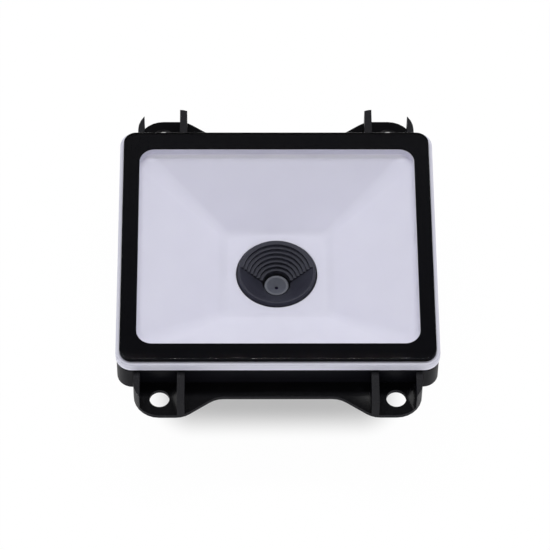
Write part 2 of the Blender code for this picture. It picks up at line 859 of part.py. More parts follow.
def make_socket(shell_finish, insert_finish):
    """A flattened tube, and the insert that closes its back and carries the contact tongue."""
    end = socket_mouth - SOCKET_LENGTH
    outer = socket_section(SOCKET_WIDTH, SOCKET_HEIGHT)
    inner = socket_section(SOCKET_WIDTH, SOCKET_HEIGHT, SOCKET_WALL)
    bm = bmesh.new()
    sections = [(outer, end), (outer, socket_mouth), (inner, socket_mouth), (inner, end)]
    add_along_y(bm, sections, ring=True)
    add_object("socket_shell", bm, shell_finish)

    block = socket_section(SOCKET_WIDTH, SOCKET_HEIGHT, SOCKET_WALL + SEAT)
    tongue = rounded_rectangle(TONGUE_WIDTH / 2, TONGUE_THICKNESS / 2, TONGUE_CORNER)
    tip = socket_mouth - 2 * FIT
    shoulder = tip - TONGUE_LENGTH
    bm = bmesh.new()
    add_along_y(bm, [(block, end), (block, shoulder), (tongue, shoulder), (tongue, tip)])
    add_object("socket_insert", bm, insert_finish)


# Front housing


def housing_sections():
    """Wall, ledge for the ring's board, shelf and back box, from the wall's outer foot to the box's."""
    wall_outer = glass_outline(wall_offset)
    wall_inner = glass_outline(wall_offset - WALL_THICKNESS)
    ledge = glass_outline(wall_offset - WALL_THICKNESS - LEDGE_WIDTH)
    return [
        (wall_outer, wall_bottom),
        (wall_outer, wall_top + WALL_EDGE),
        (glass_outline(wall_offset - WALL_EDGE), wall_top),
        (wall_inner, wall_top),
        (wall_inner, ring_board_ledge),
        (ledge, ring_board_ledge),
        (ledge, flange_top),
        (box_outline(), flange_top),
        (box_outline(), box_bottom),
        (box_outline(BOX_WALL), box_bottom),
        (box_outline(BOX_WALL), wall_bottom),
    ]


def join_columns(housing):
    """Four columns for the cover's screws and a boss for each of the chassis plate's tabs."""
    bm = bmesh.new()
    for place in four_ways(column_at):
        add_prism(bm, circle(COLUMN_RADIUS, place, COLUMN_STEPS), column_top, box_bottom)
    for side in (1, -1):
        boss = circle(COLUMN_RADIUS, (side * tab_at, 0), COLUMN_STEPS)
        add_prism(bm, boss, tab_boss_top, chassis_top - SEAT)
    combine(housing, "screw_columns", bm, "UNION")


def add_slabs(bm, low, high, bite, top, bottom):
    """The same slab on both sides and at both ends, from inside the wall to past the ears' tips."""
    root = wall_half[1] - WALL_THICKNESS * bite
    end = wall_half[1] + EAR_REACH + FIT
    for turn_x, turn_y in ((1, 1), (-1, 1), (-1, -1), (1, -1)):
        corners = rectangle((low, root), (high, end))
        add_prism(bm, [(x * turn_x, y * turn_y) for x, y in corners], top, bottom)


def join_ears(housing):
    """Flange and ribs, cut to the ears' outline together. The ribs' tops stay clear of the light ring."""
    root = wall_half[1] - WALL_THICKNESS * FLANGE_BITE
    end = wall_half[1] + EAR_REACH + FIT
    half = ear_side + FIT
    bm = bmesh.new()
    for side in (1, -1):
        slab = [(x, y * side) for x, y in rectangle((-half, root), (half, end))]
        add_prism(bm, slab, flange_top, flange_bottom)
    ears = combine(housing, "flange_and_ears", bm, "UNION")

    bm = bmesh.new()
    rib_bottom = flange_top + FLANGE_THICKNESS / 2
    inner_at = ear_side - INNER_RIB_PLACE
    add_slabs(bm, ear_side - OUTER_RIB, ear_side + FIT, RIB_BITE, wall_top, rib_bottom)
    add_slabs(bm, inner_at - INNER_RIB / 2, inner_at + INNER_RIB / 2, RIB_BITE, wall_top, rib_bottom)
    combine(ears, "ear_ribs", bm, "UNION")

    bm = bmesh.new()
    clear = GLASS_LENGTH / 2 + RING_MARGIN + FIT
    for side in (1, -1):
        beside = [(x, y * side) for x, y in rectangle((-half, root - FIT), (half, clear))]
        add_prism(bm, beside, wall_top - FIT, wall_top + RIB_STEP)
    combine(ears, "rib_steps", bm, "DIFFERENCE")

    bm = bmesh.new()
    far = ear_strip()
    for outline in (far, [(-x, -y) for x, y in far]):
        add_prism(bm, outline, wall_top - FIT, flange_bottom + FIT)
    combine(ears, "ear_trim", bm, "INTERSECT")


def drill_housing(housing):
    """The ear holes, and the pilot holes in the columns and bosses."""
    bm = bmesh.new()
    hole_at = (ear_side - HOLE_FROM_SIDE, wall_half[1] + HOLE_FROM_WALL)
    for place in four_ways(hole_at):
        hole = circle(EAR_HOLE / 2, place, EAR_HOLE_STEPS)
        add_prism(bm, hole, flange_top - FIT, flange_bottom + FIT)
    pilot_top = cover_screw_seat - SCREW_LENGTH - FIT
    for place in four_ways(column_at):
        add_prism(bm, circle(SCREW_RADIUS + SEAT, place, SMALL_STEPS), pilot_top, box_bottom + FIT)
    small_top = chassis_bottom - SMALL_SCREW_LENGTH
    for side in (1, -1):
        pilot = circle(SMALL_SCREW_RADIUS + SEAT, (side * tab_at, 0), SMALL_STEPS)
        add_prism(bm, pilot, small_top, chassis_top + FIT)
    combine(housing, "housing_holes", bm, "DIFFERENCE")


def cut_socket_window(housing):
    """The socket's opening, in a shallow recess of the far wall."""
    outside = box_inside[1] + BOX_WALL
    floor = outside - RECESS_DEPTH
    mouth = socket_section(SOCKET_WIDTH + 2 * FIT, SOCKET_HEIGHT + 2 * FIT)
    recess = rounded_rectangle(
        SOCKET_WIDTH / 2 + RECESS_MARGIN, SOCKET_HEIGHT / 2 + RECESS_MARGIN, RECESS_MARGIN
    )
    sections = [(mouth, box_inside[1] - FIT), (mouth, floor), (recess, floor), (recess, outside + FIT)]
    bm = bmesh.new()
    add_along_y(bm, sections)
    combine(housing, "socket_window", bm, "DIFFERENCE")


def make_housing(finish):
    """One black moulding."""
    bm = bmesh.new()
    add_loft(bm, housing_sections(), ring=True)
    housing = add_object("front_housing", bm, finish)
    join_columns(housing)
    join_ears(housing)
    drill_housing(housing)
    cut_socket_window(housing)


# Rear cover, seal and screws


def cover_sections():
    """From the inner floor up the dish, over the rim with its seal groove and down to the flat back."""
    sections = [
        (box_outline(), cover_inside),
        (box_outline(), cover_rim),
        (box_outline(seal_land), cover_rim),
        (box_outline(seal_land), cover_rim + SEAL_HEIGHT),
        (box_outline(BOX_WALL - seal_land), cover_rim + SEAL_HEIGHT),
        (box_outline(BOX_WALL - seal_land), cover_rim),
        (box_outline(BOX_WALL), cover_rim),
    ]
    for step in range(ROUND_STEPS + 1):
        angle = math.pi / 2 * step / ROUND_STEPS
        inset = BACK_ROUND * (1 - math.cos(angle))
        sections.append((box_outline(BOX_WALL - inset), back - BACK_ROUND * (1 - math.sin(angle))))
    return sections


def make_cover(finish):
    """A shallow dish with a rounded back edge, and a pad under each column with the screw's counterbore."""
    bm = bmesh.new()
    add_loft(bm, cover_sections())
    cover = add_object("rear_cover", bm, finish)

    bm = bmesh.new()
    for place in four_ways(column_at):
        pad = circle(COLUMN_RADIUS + PAD_EXTRA, place, COLUMN_STEPS)
        add_prism(bm, pad, cover_rim, cover_inside + SEAT)
    pads = combine(cover, "cover_pads", bm, "UNION")
    bm = bmesh.new()
    add_prism(bm, box_outline(seal_land / 2), cover_rim - FIT, cover_inside + FIT)
    combine(pads, "pad_trim", bm, "INTERSECT")

    bm = bmesh.new()
    for place in four_ways(column_at):
        profile = [
            (0, cover_rim - FIT),
            (SCREW_RADIUS + FIT, cover_rim - FIT),
            (SCREW_RADIUS + FIT, cover_screw_seat),
            (SCREW_HEAD_RADIUS + FIT, cover_screw_seat),
            (SCREW_HEAD_RADIUS + FIT, back + FIT),
            (0, back + FIT),
        ]
        add_turned(bm, profile, place, COLUMN_STEPS)
    combine(cover, "counterbores", bm, "DIFFERENCE")


def make_seal(finish):
    outer = box_outline(BOX_WALL - seal_land - SEAT / 2)
    inner = box_outline(seal_land + SEAT / 2)
    bottom = cover_rim + SEAL_HEIGHT - SEAT
    bm = bmesh.new()
    add_loft(bm, [(outer, cover_rim), (outer, bottom), (inner, bottom), (inner, cover_rim)], ring=True)
    add_object("rear_seal", bm, finish)


def cross(arm, slot):
    """Outline of a cross with four equal arms, counter-clockwise."""
    quarter = [(arm, -slot), (arm, slot), (slot, slot)]
    points = []
    for _ in range(4):
        points += quarter
        quarter = [(-y, x) for x, y in quarter]
    return points


def screw_mesh(name, radius, length, head_radius, head_height, finish):
    """A pan-head screw with a cross recess, its head's inner face at the mesh's origin and its tip up."""
    profile = [
        (0, length),
        (radius * TIP_FLAT, length),
        (radius, length - radius),
        (radius, 0),
        (head_radius, 0),
        (head_radius, -head_height * (1 - HEAD_DOME)),
        (head_radius * HEAD_FLAT, -head_height),
        (0, -head_height),
    ]
    bm = bmesh.new()
    add_turned(bm, [(r, back - height) for r, height in profile], steps=SMALL_STEPS)
    screw = add_object(name, bm, finish)

    wide = cross(head_radius * CROSS_ARM, head_radius * CROSS_SLOT)
    narrow = [(x * CROSS_TAPER, y * CROSS_TAPER) for x, y in wide]
    floor = back + head_height * (1 - CROSS_DEPTH)
    bm = bmesh.new()
    add_loft(bm, [(wide, back + head_height + SEAT), (narrow, floor)])
    tool = combine(screw, name + "_recess", bm, "DIFFERENCE")
    bpy.context.view_layer.update()
    done = bpy.data.meshes.new_from_object(screw.evaluated_get(bpy.context.evaluated_depsgraph_get()))
    bpy.data.objects.remove(screw)
    bpy.data.objects.remove(tool)
    return done


def place_screw(name, mesh, place, seat):
    """A screw driven upwards, its head's inner face at the depth of its seat."""
    obj = bpy.data.objects.new(name, mesh)
    obj.location = (*place, level(seat))
    bpy.context.collection.objects.link(obj)


def make_screws(finish):
    """Four screws through the cover, four that hold the main board and two that hold the chassis plate."""
    cover_sizes = (SCREW_RADIUS, SCREW_LENGTH, SCREW_HEAD_RADIUS, SCREW_HEAD_HEIGHT)
    small_sizes = (SMALL_SCREW_RADIUS, SMALL_SCREW_LENGTH, SMALL_HEAD_RADIUS, SMALL_HEAD_HEIGHT)
    cover_screw = screw_mesh("cover_screw", *cover_sizes, finish)
    small_screw = screw_mesh("small_screw", *small_sizes, finish)
    for number, place in enumerate(four_ways(column_at), 1):
        place_screw(f"cover_screw_{number}", cover_screw, place, cover_screw_seat + SEAT)
    for number, place in enumerate(four_ways(post_at), 1):
        place_screw(f"board_screw_{number}", small_screw, place, main_board_bottom + SEAT)
    for number, side in enumerate((1, -1), 1):
        place_screw(f"chassis_screw_{number}", small_screw, (side * tab_at, 0), chassis_bottom + SEAT)


def main():
    for obj in list(bpy.data.objects):
        bpy.data.objects.remove(obj)
    black = material("black_moulding", (0.016, 0.016, 0.017), 0.48)
    board = material("green_board", (0.02, 0.13, 0.05), 0.45)
    chip = material("chip_black", (0.02, 0.02, 0.022), 0.40)
    glass = material("clear_glass", (0.95, 0.97, 0.97), 0.03, clear=1.0)

    make_glass(glass)
    make_tape(material("border_black", (0.012, 0.012, 0.013), 0.35))
    make_light_ring(material("ring_white", (0.74, 0.74, 0.77), 0.40))
    make_diffuser(material("white_diffuser", (0.80, 0.79, 0.84), 0.50))
    make_hood(material("hood_black", (0.022, 0.022, 0.024), 0.42))
    make_barrel(material("barrel_grey", (0.09, 0.09, 0.10), 0.35))
    make_lens(glass)
    make_holder(black)
    make_ring_board(board)
    make_well_board(board)
    make_main_board(board)
    make_leds(material("led_yellow", (0.85, 0.75, 0.35), 0.30))
    make_chips(chip, black)
    make_ribbon(material("ribbon_amber", (0.55, 0.30, 0.06), 0.45))
    make_socket(material("socket_steel", (0.55, 0.55, 0.56), 0.30, metallic=1.0), chip)
    make_housing(black)
    make_cover(black)
    make_seal(material("seal_rubber", (0.03, 0.03, 0.03), 0.80))
    make_screws(material("screw_steel", (0.12, 0.12, 0.13), 0.35, metallic=1.0))


main()
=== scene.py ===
"""Looks of a fixed barcode reader: glass window with a black printed border, white light well,
stepped lens hood, light ring and black housing. The reader lies on its back, window up, +Y away
from the camera. Lengths are in metres."""

import math

import bmesh
import bpy
import numpy as np
from mathutils import Matrix, Vector


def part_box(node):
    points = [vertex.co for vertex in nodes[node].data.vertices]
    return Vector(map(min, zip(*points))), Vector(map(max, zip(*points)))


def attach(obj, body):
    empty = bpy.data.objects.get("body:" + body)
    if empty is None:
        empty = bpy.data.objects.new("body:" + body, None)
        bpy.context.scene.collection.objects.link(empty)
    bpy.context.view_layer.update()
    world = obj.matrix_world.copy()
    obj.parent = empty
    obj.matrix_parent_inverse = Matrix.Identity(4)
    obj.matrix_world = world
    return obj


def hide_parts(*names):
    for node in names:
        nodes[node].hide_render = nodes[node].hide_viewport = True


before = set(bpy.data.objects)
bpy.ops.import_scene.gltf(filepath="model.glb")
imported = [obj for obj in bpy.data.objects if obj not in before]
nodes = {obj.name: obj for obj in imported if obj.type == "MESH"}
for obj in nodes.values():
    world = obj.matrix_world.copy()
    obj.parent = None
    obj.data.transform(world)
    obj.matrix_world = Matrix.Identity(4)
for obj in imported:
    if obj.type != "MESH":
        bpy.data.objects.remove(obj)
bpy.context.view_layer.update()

# Heights and places read from the frame
glass_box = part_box("window_glass")
front = glass_box[1].z
glass_low = glass_box[0].z
glass_half = np.array(glass_box[1][:2])
ring_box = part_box("light_ring")
ring_top = ring_box[1].z
well_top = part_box("diffuser")[1].z
hood_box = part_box("lens_hood")
hood_rim = hood_box[1].z
barrel_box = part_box("lens_barrel")
board_half = np.array(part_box("main_board")[1][:2])

# Glass window
GLASS_CORNER = 0.0030
GLASS_ARRIS = 0.00014
GLASS_FLAT = 0.02  # from the edge to the first row of the flat faces
WINDOW_HALF = np.array([0.0342, 0.0292])
WINDOW_CORNER = 0.0038
WINDOW_SHIFT = 0.00014  # of the print's inner edge, to the right

# Printed border, and its coat round the glass's ground edge
PRINT_DEPTH = 0.00062  # below the glass's face
PRINT_THICKNESS = 0.00015
COAT_OUT = 0.00006  # beyond the glass's edge
COAT_START = 0.00002  # the same, where the coat starts and ends
COAT_IN = 0.00010  # inside the glass's edge
COAT_SWELL = 0.00003  # height over which it reaches its full width
# the coat's foot reaches down to just above the ring: a dark sheet in the gap, painted shade
COAT_ABOVE_RING = 0.00002
COAT_BELOW_GLASS = 0.00001

# Light ring
RING_MARGIN = 0.0010  # beyond the glass's edge
RING_FACE = 0.0025  # height of the outer face
RING_EDGE = 0.00045  # easing of the outer face's edges
RING_SKIRT = 0.0010  # from the glass's edge in to the skirt's outer side
RING_SHELF = 0.0021  # from the glass's edge in to its inner side
RING_STEP = 0.0001  # from the glass's edge in to the rebate's side

# Light well
LIP = 0.0011  # height of the upright lip
WELL_DEPTH = 0.0105  # of the sloped walls
WELL_WALL = 0.0012
WELL_FLANGE = 0.0012  # thickness of the flange
WELL_FLANGE_CORNER = 0.0007
RING_GAP = 0.0003  # between the flange and the light ring
BEAD_DEPTH = 0.00080  # below the glass's face
BEAD_WIDTH = 0.0005
FLOOR_HALF = np.array([0.0129, 0.0124])
FLOOR_CORNER = 0.0018
FOOT_ROWS = 3  # rows of the walls that the soft foot takes up
FOOT_SHARE = 0.3  # of the way over the floor to the hole, where the soft foot ends
SOFT_ROWS = 12
FLOOR_ROWS = 9
HOLE_GAP = 0.0003  # round the hood
BACK_SHIFT = 0.0006  # of the well's back, out from the floor and in from the window
BACK_TOP = 0.0020  # below the flange's top

# Lens hood
RIM_RADIUS = 0.0095
RIM_EASE = 0.00022
FOOT_RADIUS = 0.0098
HOOD_RISE = 0.0010  # of the rim above the well's floor
STEP_COUNT = 6
STEP_TOP_RADIUS = 0.0083
STEP_DROP = 0.00076
STEP_NOSE = 0.00007  # easing of the steps' edges
THROAT_RADIUS = 0.00345
THROAT_BOTTOM = 0.0057  # below the rim
THROAT_EASE = 0.00008
CONE_RADIUS = 0.0091
CONE_DEPTH = 0.0055
CONE_EASE = 0.0002
CONE_TURN = math.radians(9)  # the steps end this far short of the sides
CONE_JOIN = math.radians(0.4)  # between the last stepped profile and the first smooth one
SEAT_GAP = 0.0003  # between the collar and the well's floor
COLLAR_RADIUS = FOOT_RADIUS + 0.0020
COLLAR_HEIGHT = 0.0035
TUBE_RADIUS = 0.0060
TUBE_BORE = 0.0036
TUBE_DROP = 0.0027  # below the throat
collar_top = hood_rim - HOOD_RISE - WELL_WALL - SEAT_GAP

# Chassis plate under the hood, with its tabs and posts
PLATE_CORNER = 0.0010
PLATE_DROP = 0.0021  # below the collar's top
PLATE_THICKNESS = 0.0015
PLATE_HOLE = FOOT_RADIUS + 0.0019
PLATE_EASE = 0.00012
TAB_HALF = 0.0035
POST_INSET = 0.0038  # from the board's edges
POST_RADIUS = 0.0020
POST_BORE = 0.0011
POST_SINK = 0.0007  # of the posts' tops in the plate

# Lens barrel
BARREL_RADIUS = 0.0033
BARREL_BORE = 0.0023
FACE_RADIUS = 0.00295
FACE_EASE = 0.00015
FACE_SLOPE = 0.0010  # height of the slope from the face to the side
DISH_RADIUS = 0.0024
DISH_DEPTH = 0.0012
DISH_WALL = 0.0005
APERTURE = 0.00042
APERTURE_EASE = 0.00003

# Pan-head screws, as shares of the head's radius
SHAFT_SHARE = 0.54
HEAD_SHARE = 0.70  # thickness
FACE_SHARE = 0.72  # the flat face that the cross lies in
SLOT_SHARE = 0.15  # half the width of the cross's arms
SLOT_SOFT = 0.04
ARM_SHARE = 0.62  # from the middle to the arms' ends
ARM_SOFT = 0.06
CROSS_SHARE = 0.55  # the cross's depth, as a share of the head's thickness
TIP_SHARE = 0.45  # the tip's radius, as a share of the shaft's
SIDE_SHARE = 0.35  # from the face to the head's straight side, as a share of its thickness
DOME_SHARE = 0.8  # the dome's edge
HEAD_EASE = 0.0004

# Edges: how far they are eased, and angles in degrees
EASE = 0.0001
EASED_ENDS = ((1.0, 0.42), (1.8, 0.48))  # share of the reach, and the most of a side it may take
LEAST_CORNER = 0.0003
HOUSING_EASE = 0.00012
COVER_EASE = 0.00015
BEVEL_ANGLE = 40  # an edge that turns more is eased
SHARP_ANGLE = 35  # an edge that turns more stays sharp in shading
SHARP_ANGLE_HOLLOW = 40  # the same on the light well and the hood
SHARP_ANGLE_BLOCK = 30  # and on the housing, cover and screws
WELD = 0.000002  # points that lie closer are one
FLAT_ANGLE = 0.5  # faces that turn less are one

# Points on the arcs and straight sides of a rounded outline, and round turned forms
ARC_POINTS = 17
SIDE_POINTS = 14
TURN_POINTS = 128
STEPPED_POINTS = 64
CONE_POINTS = 72
POST_POINTS = 48
SCREW_POINTS = 96
SCREW_ROWS = 40

# Finishes: noise scales per metre, and the range that most of a noise's values lie in
CLOUDS = 160
GRAIN = 2600
NOISE_RANGE = (0.3, 0.7)
FLANGE_DEPTH = 0.0091  # of the flange's top below the glass's face
SIDE_NORMAL = 0.80  # upward part of a normal: up to this it is a side's
TOP_NORMAL = 0.98  # and from this on a top's
FAR_WALL_PAINTED_LIGHT = 1.35  # share of the well's colour along the top of its far wall: painted light where the border's shadow falls

# Studio
CAMERA_DISTANCE = 0.828177
CAMERA_ELEVATION = math.radians(55.0)
CAMERA_AZIMUTH = -0.0190257
CAMERA_ROLL = 0.0150703
CAMERA_TARGET = Vector((-0.0005853, -0.0096152, front))
CAMERA_CLIP = (0.01, 100)
FOCAL_PIXELS = 3407.38
PICTURE_PIXELS = 550
SENSOR_WIDTH = 36.0
MIDDLE = Vector((0, 0, 0))
SOFTBOXES = (  # name, place, size and power
    ("overhead_softbox", (0, 0.80, 2.1), (2.0, 0.5), 37),
    ("front_fill", (0, -2.2, 1.0), (1.6, 0.8), 5),
)
STAGE_HALF = 6.0
STAGE_HEIGHT = -0.0001
SHADOW_HALF = (0.020, 0.0235)  # footprint of the back box
SHADOW_CORE = 0.0025  # from the footprint to where the shadow starts to fade
SHADOW_REACH = 0.0128  # and to where it ends
FLOOR_GLOW = (0.38, 0.985)  # share of white in the shadow and outside it
SKY = 0.5
CARD_COLOUR = (0.03, 0.03, 0.032)
CARD_ELEVATION = math.radians(68)
CARD_EDGE = (0.94, 0.99)  # cosines of the angles from its middle where it fades in
WHITE = (1.0, 1.0, 1.0)


# Grids of points, worked out as whole arrays


def outline(half_x, half_y, radius):
    """Rounded rectangles, counter-clockwise: quarter arcs c + r (cos a, sin a) about four corner
    centres, each followed by a straight run to the next arc. Sizes may be arrays; the outlines'
    points come last."""
    sizes = (half_x, half_y, radius)
    half_x, half_y, radius = (np.asarray(size, float)[..., None, None] for size in sizes)
    sign_x = np.array([1, -1, -1, 1])[:, None]
    sign_y = np.array([1, 1, -1, -1])[:, None]
    angle = np.arange(4)[:, None] * np.pi / 2 + np.linspace(0, np.pi / 2, ARC_POINTS)
    x = sign_x * (half_x - radius) + radius * np.cos(angle)
    y = sign_y * (half_y - radius) + radius * np.sin(angle)
    share = np.linspace(0, 1, SIDE_POINTS + 2)[1:-1]
    rows = []
    for v in (x, y):
        following = np.roll(v[..., :1], -1, axis=-2)
        side = v[..., -1:] * (1 - share) + following * share
        rows.append(np.concatenate([v, side], axis=-1).reshape(*v.shape[:-2], -1))
    return np.stack(rows, axis=-1)


def eased(corners, reach, steps=5, closed=True):
    """A profile whose corners are parabolas, (1-s)^2 A + 2s(1-s) C + s^2 B, with A and B a reach
    away from the corner C on its two sides, and one more point beyond A and B that keeps the flats
    flat in shading. Neither lies further off than a share of the side."""
    corners = np.asarray(corners, float)
    reach = np.broadcast_to(np.asarray(reach, float), len(corners))
    ends = []
    for shift in (1, -1):
        way = np.roll(corners, shift, axis=0) - corners
        length = np.linalg.norm(way, axis=1)
        for factor, most in EASED_ENDS:
            step = np.minimum(reach * factor, length * most) / length
            ends.append(corners + way * step[:, None])
    a, a_far, b, b_far = (end[:, None] for end in ends)
    s = np.linspace(0, 1, steps)[None, :, None]
    curve = (1 - s) ** 2 * a + 2 * s * (1 - s) * corners[:, None] + s**2 * b
    curve = np.concatenate([a_far, curve, b_far], axis=1)
    if closed:
        return curve.reshape(-1, 2)
    return np.concatenate([corners[:1], curve[1:-1].reshape(-1, 2), corners[-1:]])


def at_depth(plan, depth):
    """Rows of plan points set below the glass's face, all by one depth or each by its own."""
    height = np.broadcast_to(np.reshape(front - depth, (-1, 1, 1)), (*plan.shape[:2], 1))
    return np.concatenate([plan, height], axis=-1)


def sized_rows(sizes):
    """Rounded outlines as rows: each size is half width, half length, corner radius and depth."""
    *shape, depth = np.asarray(sizes, float).T
    return at_depth(outline(*shape), depth)


def framed(profile, half, corner):
    """A profile of (offset, depth) carried round a rounded rectangle: each row is the outline moved
    out by the offset, its corner radius growing with it."""
    offset, depth = profile.T
    radius = np.maximum(corner + offset, LEAST_CORNER)
    return at_depth(outline(half[0] + offset, half[1] + offset, radius), depth)


def rows_to_pole(profile, half, corner, pole_depths):
    """A framed profile with a pole at each end, at the plan's centre."""
    grid = framed(profile, half, corner)
    first, last = (np.broadcast_to([0, 0, front - d], (1, grid.shape[1], 3)) for d in pole_depths)
    return np.concatenate([first, grid, last])


def lathe(profile, centre=(0.0, 0.0), points=TURN_POINTS):
    """A profile of (radius, height) turned about an upright axis: x = r cos a, y = r sin a."""
    radius, height = profile.T
    angle = np.linspace(0, 2 * np.pi, points, endpoint=False)
    x = centre[0] + radius[:, None] * np.cos(angle)
    y = centre[1] + radius[:, None] * np.sin(angle)
    return np.stack([x, y, np.broadcast_to(height[:, None], x.shape)], axis=-1)


def patch(grid, ring=False):
    """Points and faces of a grid whose columns close on themselves. A ring's rows do too; any other
    grid's first and last rows are single points, which become its poles."""
    rows, columns = grid.shape[:2]
    index = np.arange(rows * columns).reshape(rows, columns)
    if ring:
        index = np.concatenate([index, index[:1]])
    else:
        index[0] = index[0, 0]
        index[-1] = index[-1, 0]
    index = np.concatenate([index, index[:, :1]], axis=1)
    quads = np.stack([index[:-1, :-1], index[:-1, 1:], index[1:, 1:], index[1:, :-1]], -1)
    return grid.reshape(-1, 3), quads.reshape(-1, 4)


def add_piece(name, patches, finish, stands_for=(), sharp=SHARP_ANGLE):
    """One object from patches of points and quads. A quad with two equal corners is written as a
    triangle."""
    points, quads, start = [], [], 0
    for patch_points, patch_quads in patches:
        points.append(patch_points)
        quads.append(patch_quads + start)
        start += len(patch_points)
    points, quads = np.concatenate(points), np.concatenate(quads)
    used, quads = np.unique(quads, return_inverse=True)
    quads = quads.reshape(-1, 4)
    top = quads[:, 0] == quads[:, 1]
    foot = quads[:, 2] == quads[:, 3]
    loops = [quads[~top & ~foot], quads[top][:, [0, 2, 3]], quads[foot][:, [0, 1, 2]]]
    counts = np.concatenate([np.full(len(group), group.shape[1]) for group in loops])
    corners = np.concatenate([group.ravel() for group in loops])
    mesh = bpy.data.meshes.new(name)
    mesh.vertices.add(len(used))
    mesh.vertices.foreach_set("co", points[used].astype(np.float32).ravel())
    mesh.loops.add(len(corners))
    mesh.loops.foreach_set("vertex_index", corners.astype(np.int32))
    mesh.polygons.add(len(counts))
    mesh.polygons.foreach_set("loop_start", (np.cumsum(counts) - counts).astype(np.int32))
    mesh.update(calc_edges=True)
    mesh.validate()
    return finish_piece(name, mesh, finish, stands_for, sharp)


def finish_piece(name, mesh, finish, stands_for, sharp):
    """Turns a mesh's faces outwards, shades it and rides it on the body."""
    bm = bmesh.new()
    bm.from_mesh(mesh)
    bmesh.ops.recalc_face_normals(bm, faces=bm.faces)
    bm.to_mesh(mesh)
    bm.free()
    mesh.shade_smooth()
    mesh.set_sharp_from_angle(angle=math.radians(sharp))
    piece = bpy.data.objects.new(name, mesh)
    bpy.context.scene.collection.objects.link(piece)
    mesh.materials.append(finish)
    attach(piece, "root")
    if stands_for:
        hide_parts(*stands_for)
    return piece


def ease_edges(piece, width):
    """Rounds every edge of a piece that is sharper than the bevel's angle."""
    bevel = piece.modifiers.new("eased_edges", "BEVEL")
    bevel.width = width
    bevel.segments = 3
    bevel.limit_method = "ANGLE"
    bevel.angle_limit = math.radians(BEVEL_ANGLE)
    bevel.harden_normals = True


# Finishes


def feed(tree, node, inputs):
    """Sets a node's inputs, given by name or number. Another node's output is linked, a number or
    colour is set on the socket itself."""
    for key, value in inputs.items():
        if isinstance(value, bpy.types.NodeSocket):
            tree.links.new(value, node.inputs[key])
        else:
            node.inputs[key].default_value = value


def new_finish(name, colour, roughness, specular=0.5, metallic=0.0):
    """A material with one Principled shader, and the node tree to build on."""
    material = bpy.data.materials.new(name)
    material.use_nodes = True
    tree = material.node_tree
    shader = tree.nodes["Principled BSDF"]
    values = {"Base Color": (*colour, 1), "Roughness": roughness}
    feed(tree, shader, {**values, "Specular IOR Level": specular, "Metallic": metallic})
    return material, tree, shader


def object_coords(tree):
    """The place on the object, in metres."""
    return tree.nodes.new("ShaderNodeTexCoord").outputs["Object"]


def normal_axes(tree):
    """The face's normal, as its three parts."""
    return axes(tree, tree.nodes.new("ShaderNodeNewGeometry").outputs["Normal"])


def axes(tree, vector):
    """A vector's three parts."""
    parts = tree.nodes.new("ShaderNodeSeparateXYZ")
    feed(tree, parts, {"Vector": vector})
    return [parts.outputs[axis] for axis in "XYZ"]


def noise(tree, coords, scale, detail=3.0, stretch=None):
    """Noise on the object's own coordinates, finer for a larger scale (per metre)."""
    if stretch:
        mapping = tree.nodes.new("ShaderNodeMapping")
        feed(tree, mapping, {"Vector": coords, "Scale": stretch})
        coords = mapping.outputs["Vector"]
    texture = tree.nodes.new("ShaderNodeTexNoise")
    feed(tree, texture, {"Vector": coords, "Scale": scale, "Detail": detail})
    return texture.outputs["Fac"]


def cells(tree, coords, scale, feature):
    """Distance to the points, or to the edges, of a random pattern of cells."""
    texture = tree.nodes.new("ShaderNodeTexVoronoi")
    texture.feature = feature
    feed(tree, texture, {"Vector": coords, "Scale": scale})
    return texture.outputs["Distance"]


def mapped(tree, value, start, end, kind="LINEAR"):
    """A change from one pair of (value, result) to another, held beyond both."""
    (from_min, to_min), (from_max, to_max) = sorted([start, end])
    node = tree.nodes.new("ShaderNodeMapRange")
    node.interpolation_type = kind
    limits = {"From Min": from_min, "From Max": from_max, "To Min": to_min, "To Max": to_max}
    feed(tree, node, {"Value": value, **limits})
    return node.outputs["Result"]


def fade(tree, value, start, end):
    """The same with a soft start and end."""
    return mapped(tree, value, start, end, "SMOOTHSTEP")


def spread(tree, value, low, high):
    """Maps a noise's usual range onto low to high."""
    return mapped(tree, value, (NOISE_RANGE[0], low), (NOISE_RANGE[1], high))


def tint(tree, value, dark, light):
    """A colour between two, by a noise's value."""
    ramp = tree.nodes.new("ShaderNodeValToRGB")
    for stop, position, colour in zip(ramp.color_ramp.elements, NOISE_RANGE, (dark, light)):
        stop.position = position
        stop.color = (*colour, 1)
    feed(tree, ramp, {"Fac": value})
    return ramp.outputs["Color"]


def relief(tree, shader, value, distance):
    """Bump of a height in metres on the shader's normal."""
    bump = tree.nodes.new("ShaderNodeBump")
    feed(tree, bump, {"Height": value, "Distance": distance, "Strength": 1.0})
    feed(tree, shader, {"Normal": bump.outputs["Normal"]})


def maths(tree, operation, *values):
    """A sum on sockets or numbers."""
    node = tree.nodes.new("ShaderNodeMath")
    node.operation = operation
    feed(tree, node, dict(enumerate(values)))
    return node.outputs["Value"]


def vector_maths(tree, operation, inputs, result="Vector"):
    """A sum on vectors, with its inputs by name or number."""
    node = tree.nodes.new("ShaderNodeVectorMath")
    node.operation = operation
    feed(tree, node, inputs)
    return node.outputs[result]


def mix_colours(tree, factor, one, other):
    """One colour where the factor is 0, the other where it is 1: sockets or three numbers."""
    mix = tree.nodes.new("ShaderNodeMix")
    mix.data_type = "RGBA"
    keys = [key for key, socket in enumerate(mix.inputs) if socket.type == "RGBA"]
    colours = [(*colour, 1) if isinstance(colour, tuple) else colour for colour in (one, other)]
    feed(tree, mix, {"Factor": factor, **dict(zip(keys, colours))})
    return [output for output in mix.outputs if output.type == "RGBA"][0]


def mix_shaders(tree, factor, one, other):
    """One shader where the factor is 0, the other where it is 1."""
    mix = tree.nodes.new("ShaderNodeMixShader")
    feed(tree, mix, {"Fac": factor, 1: one, 2: other})
    return mix.outputs["Shader"]


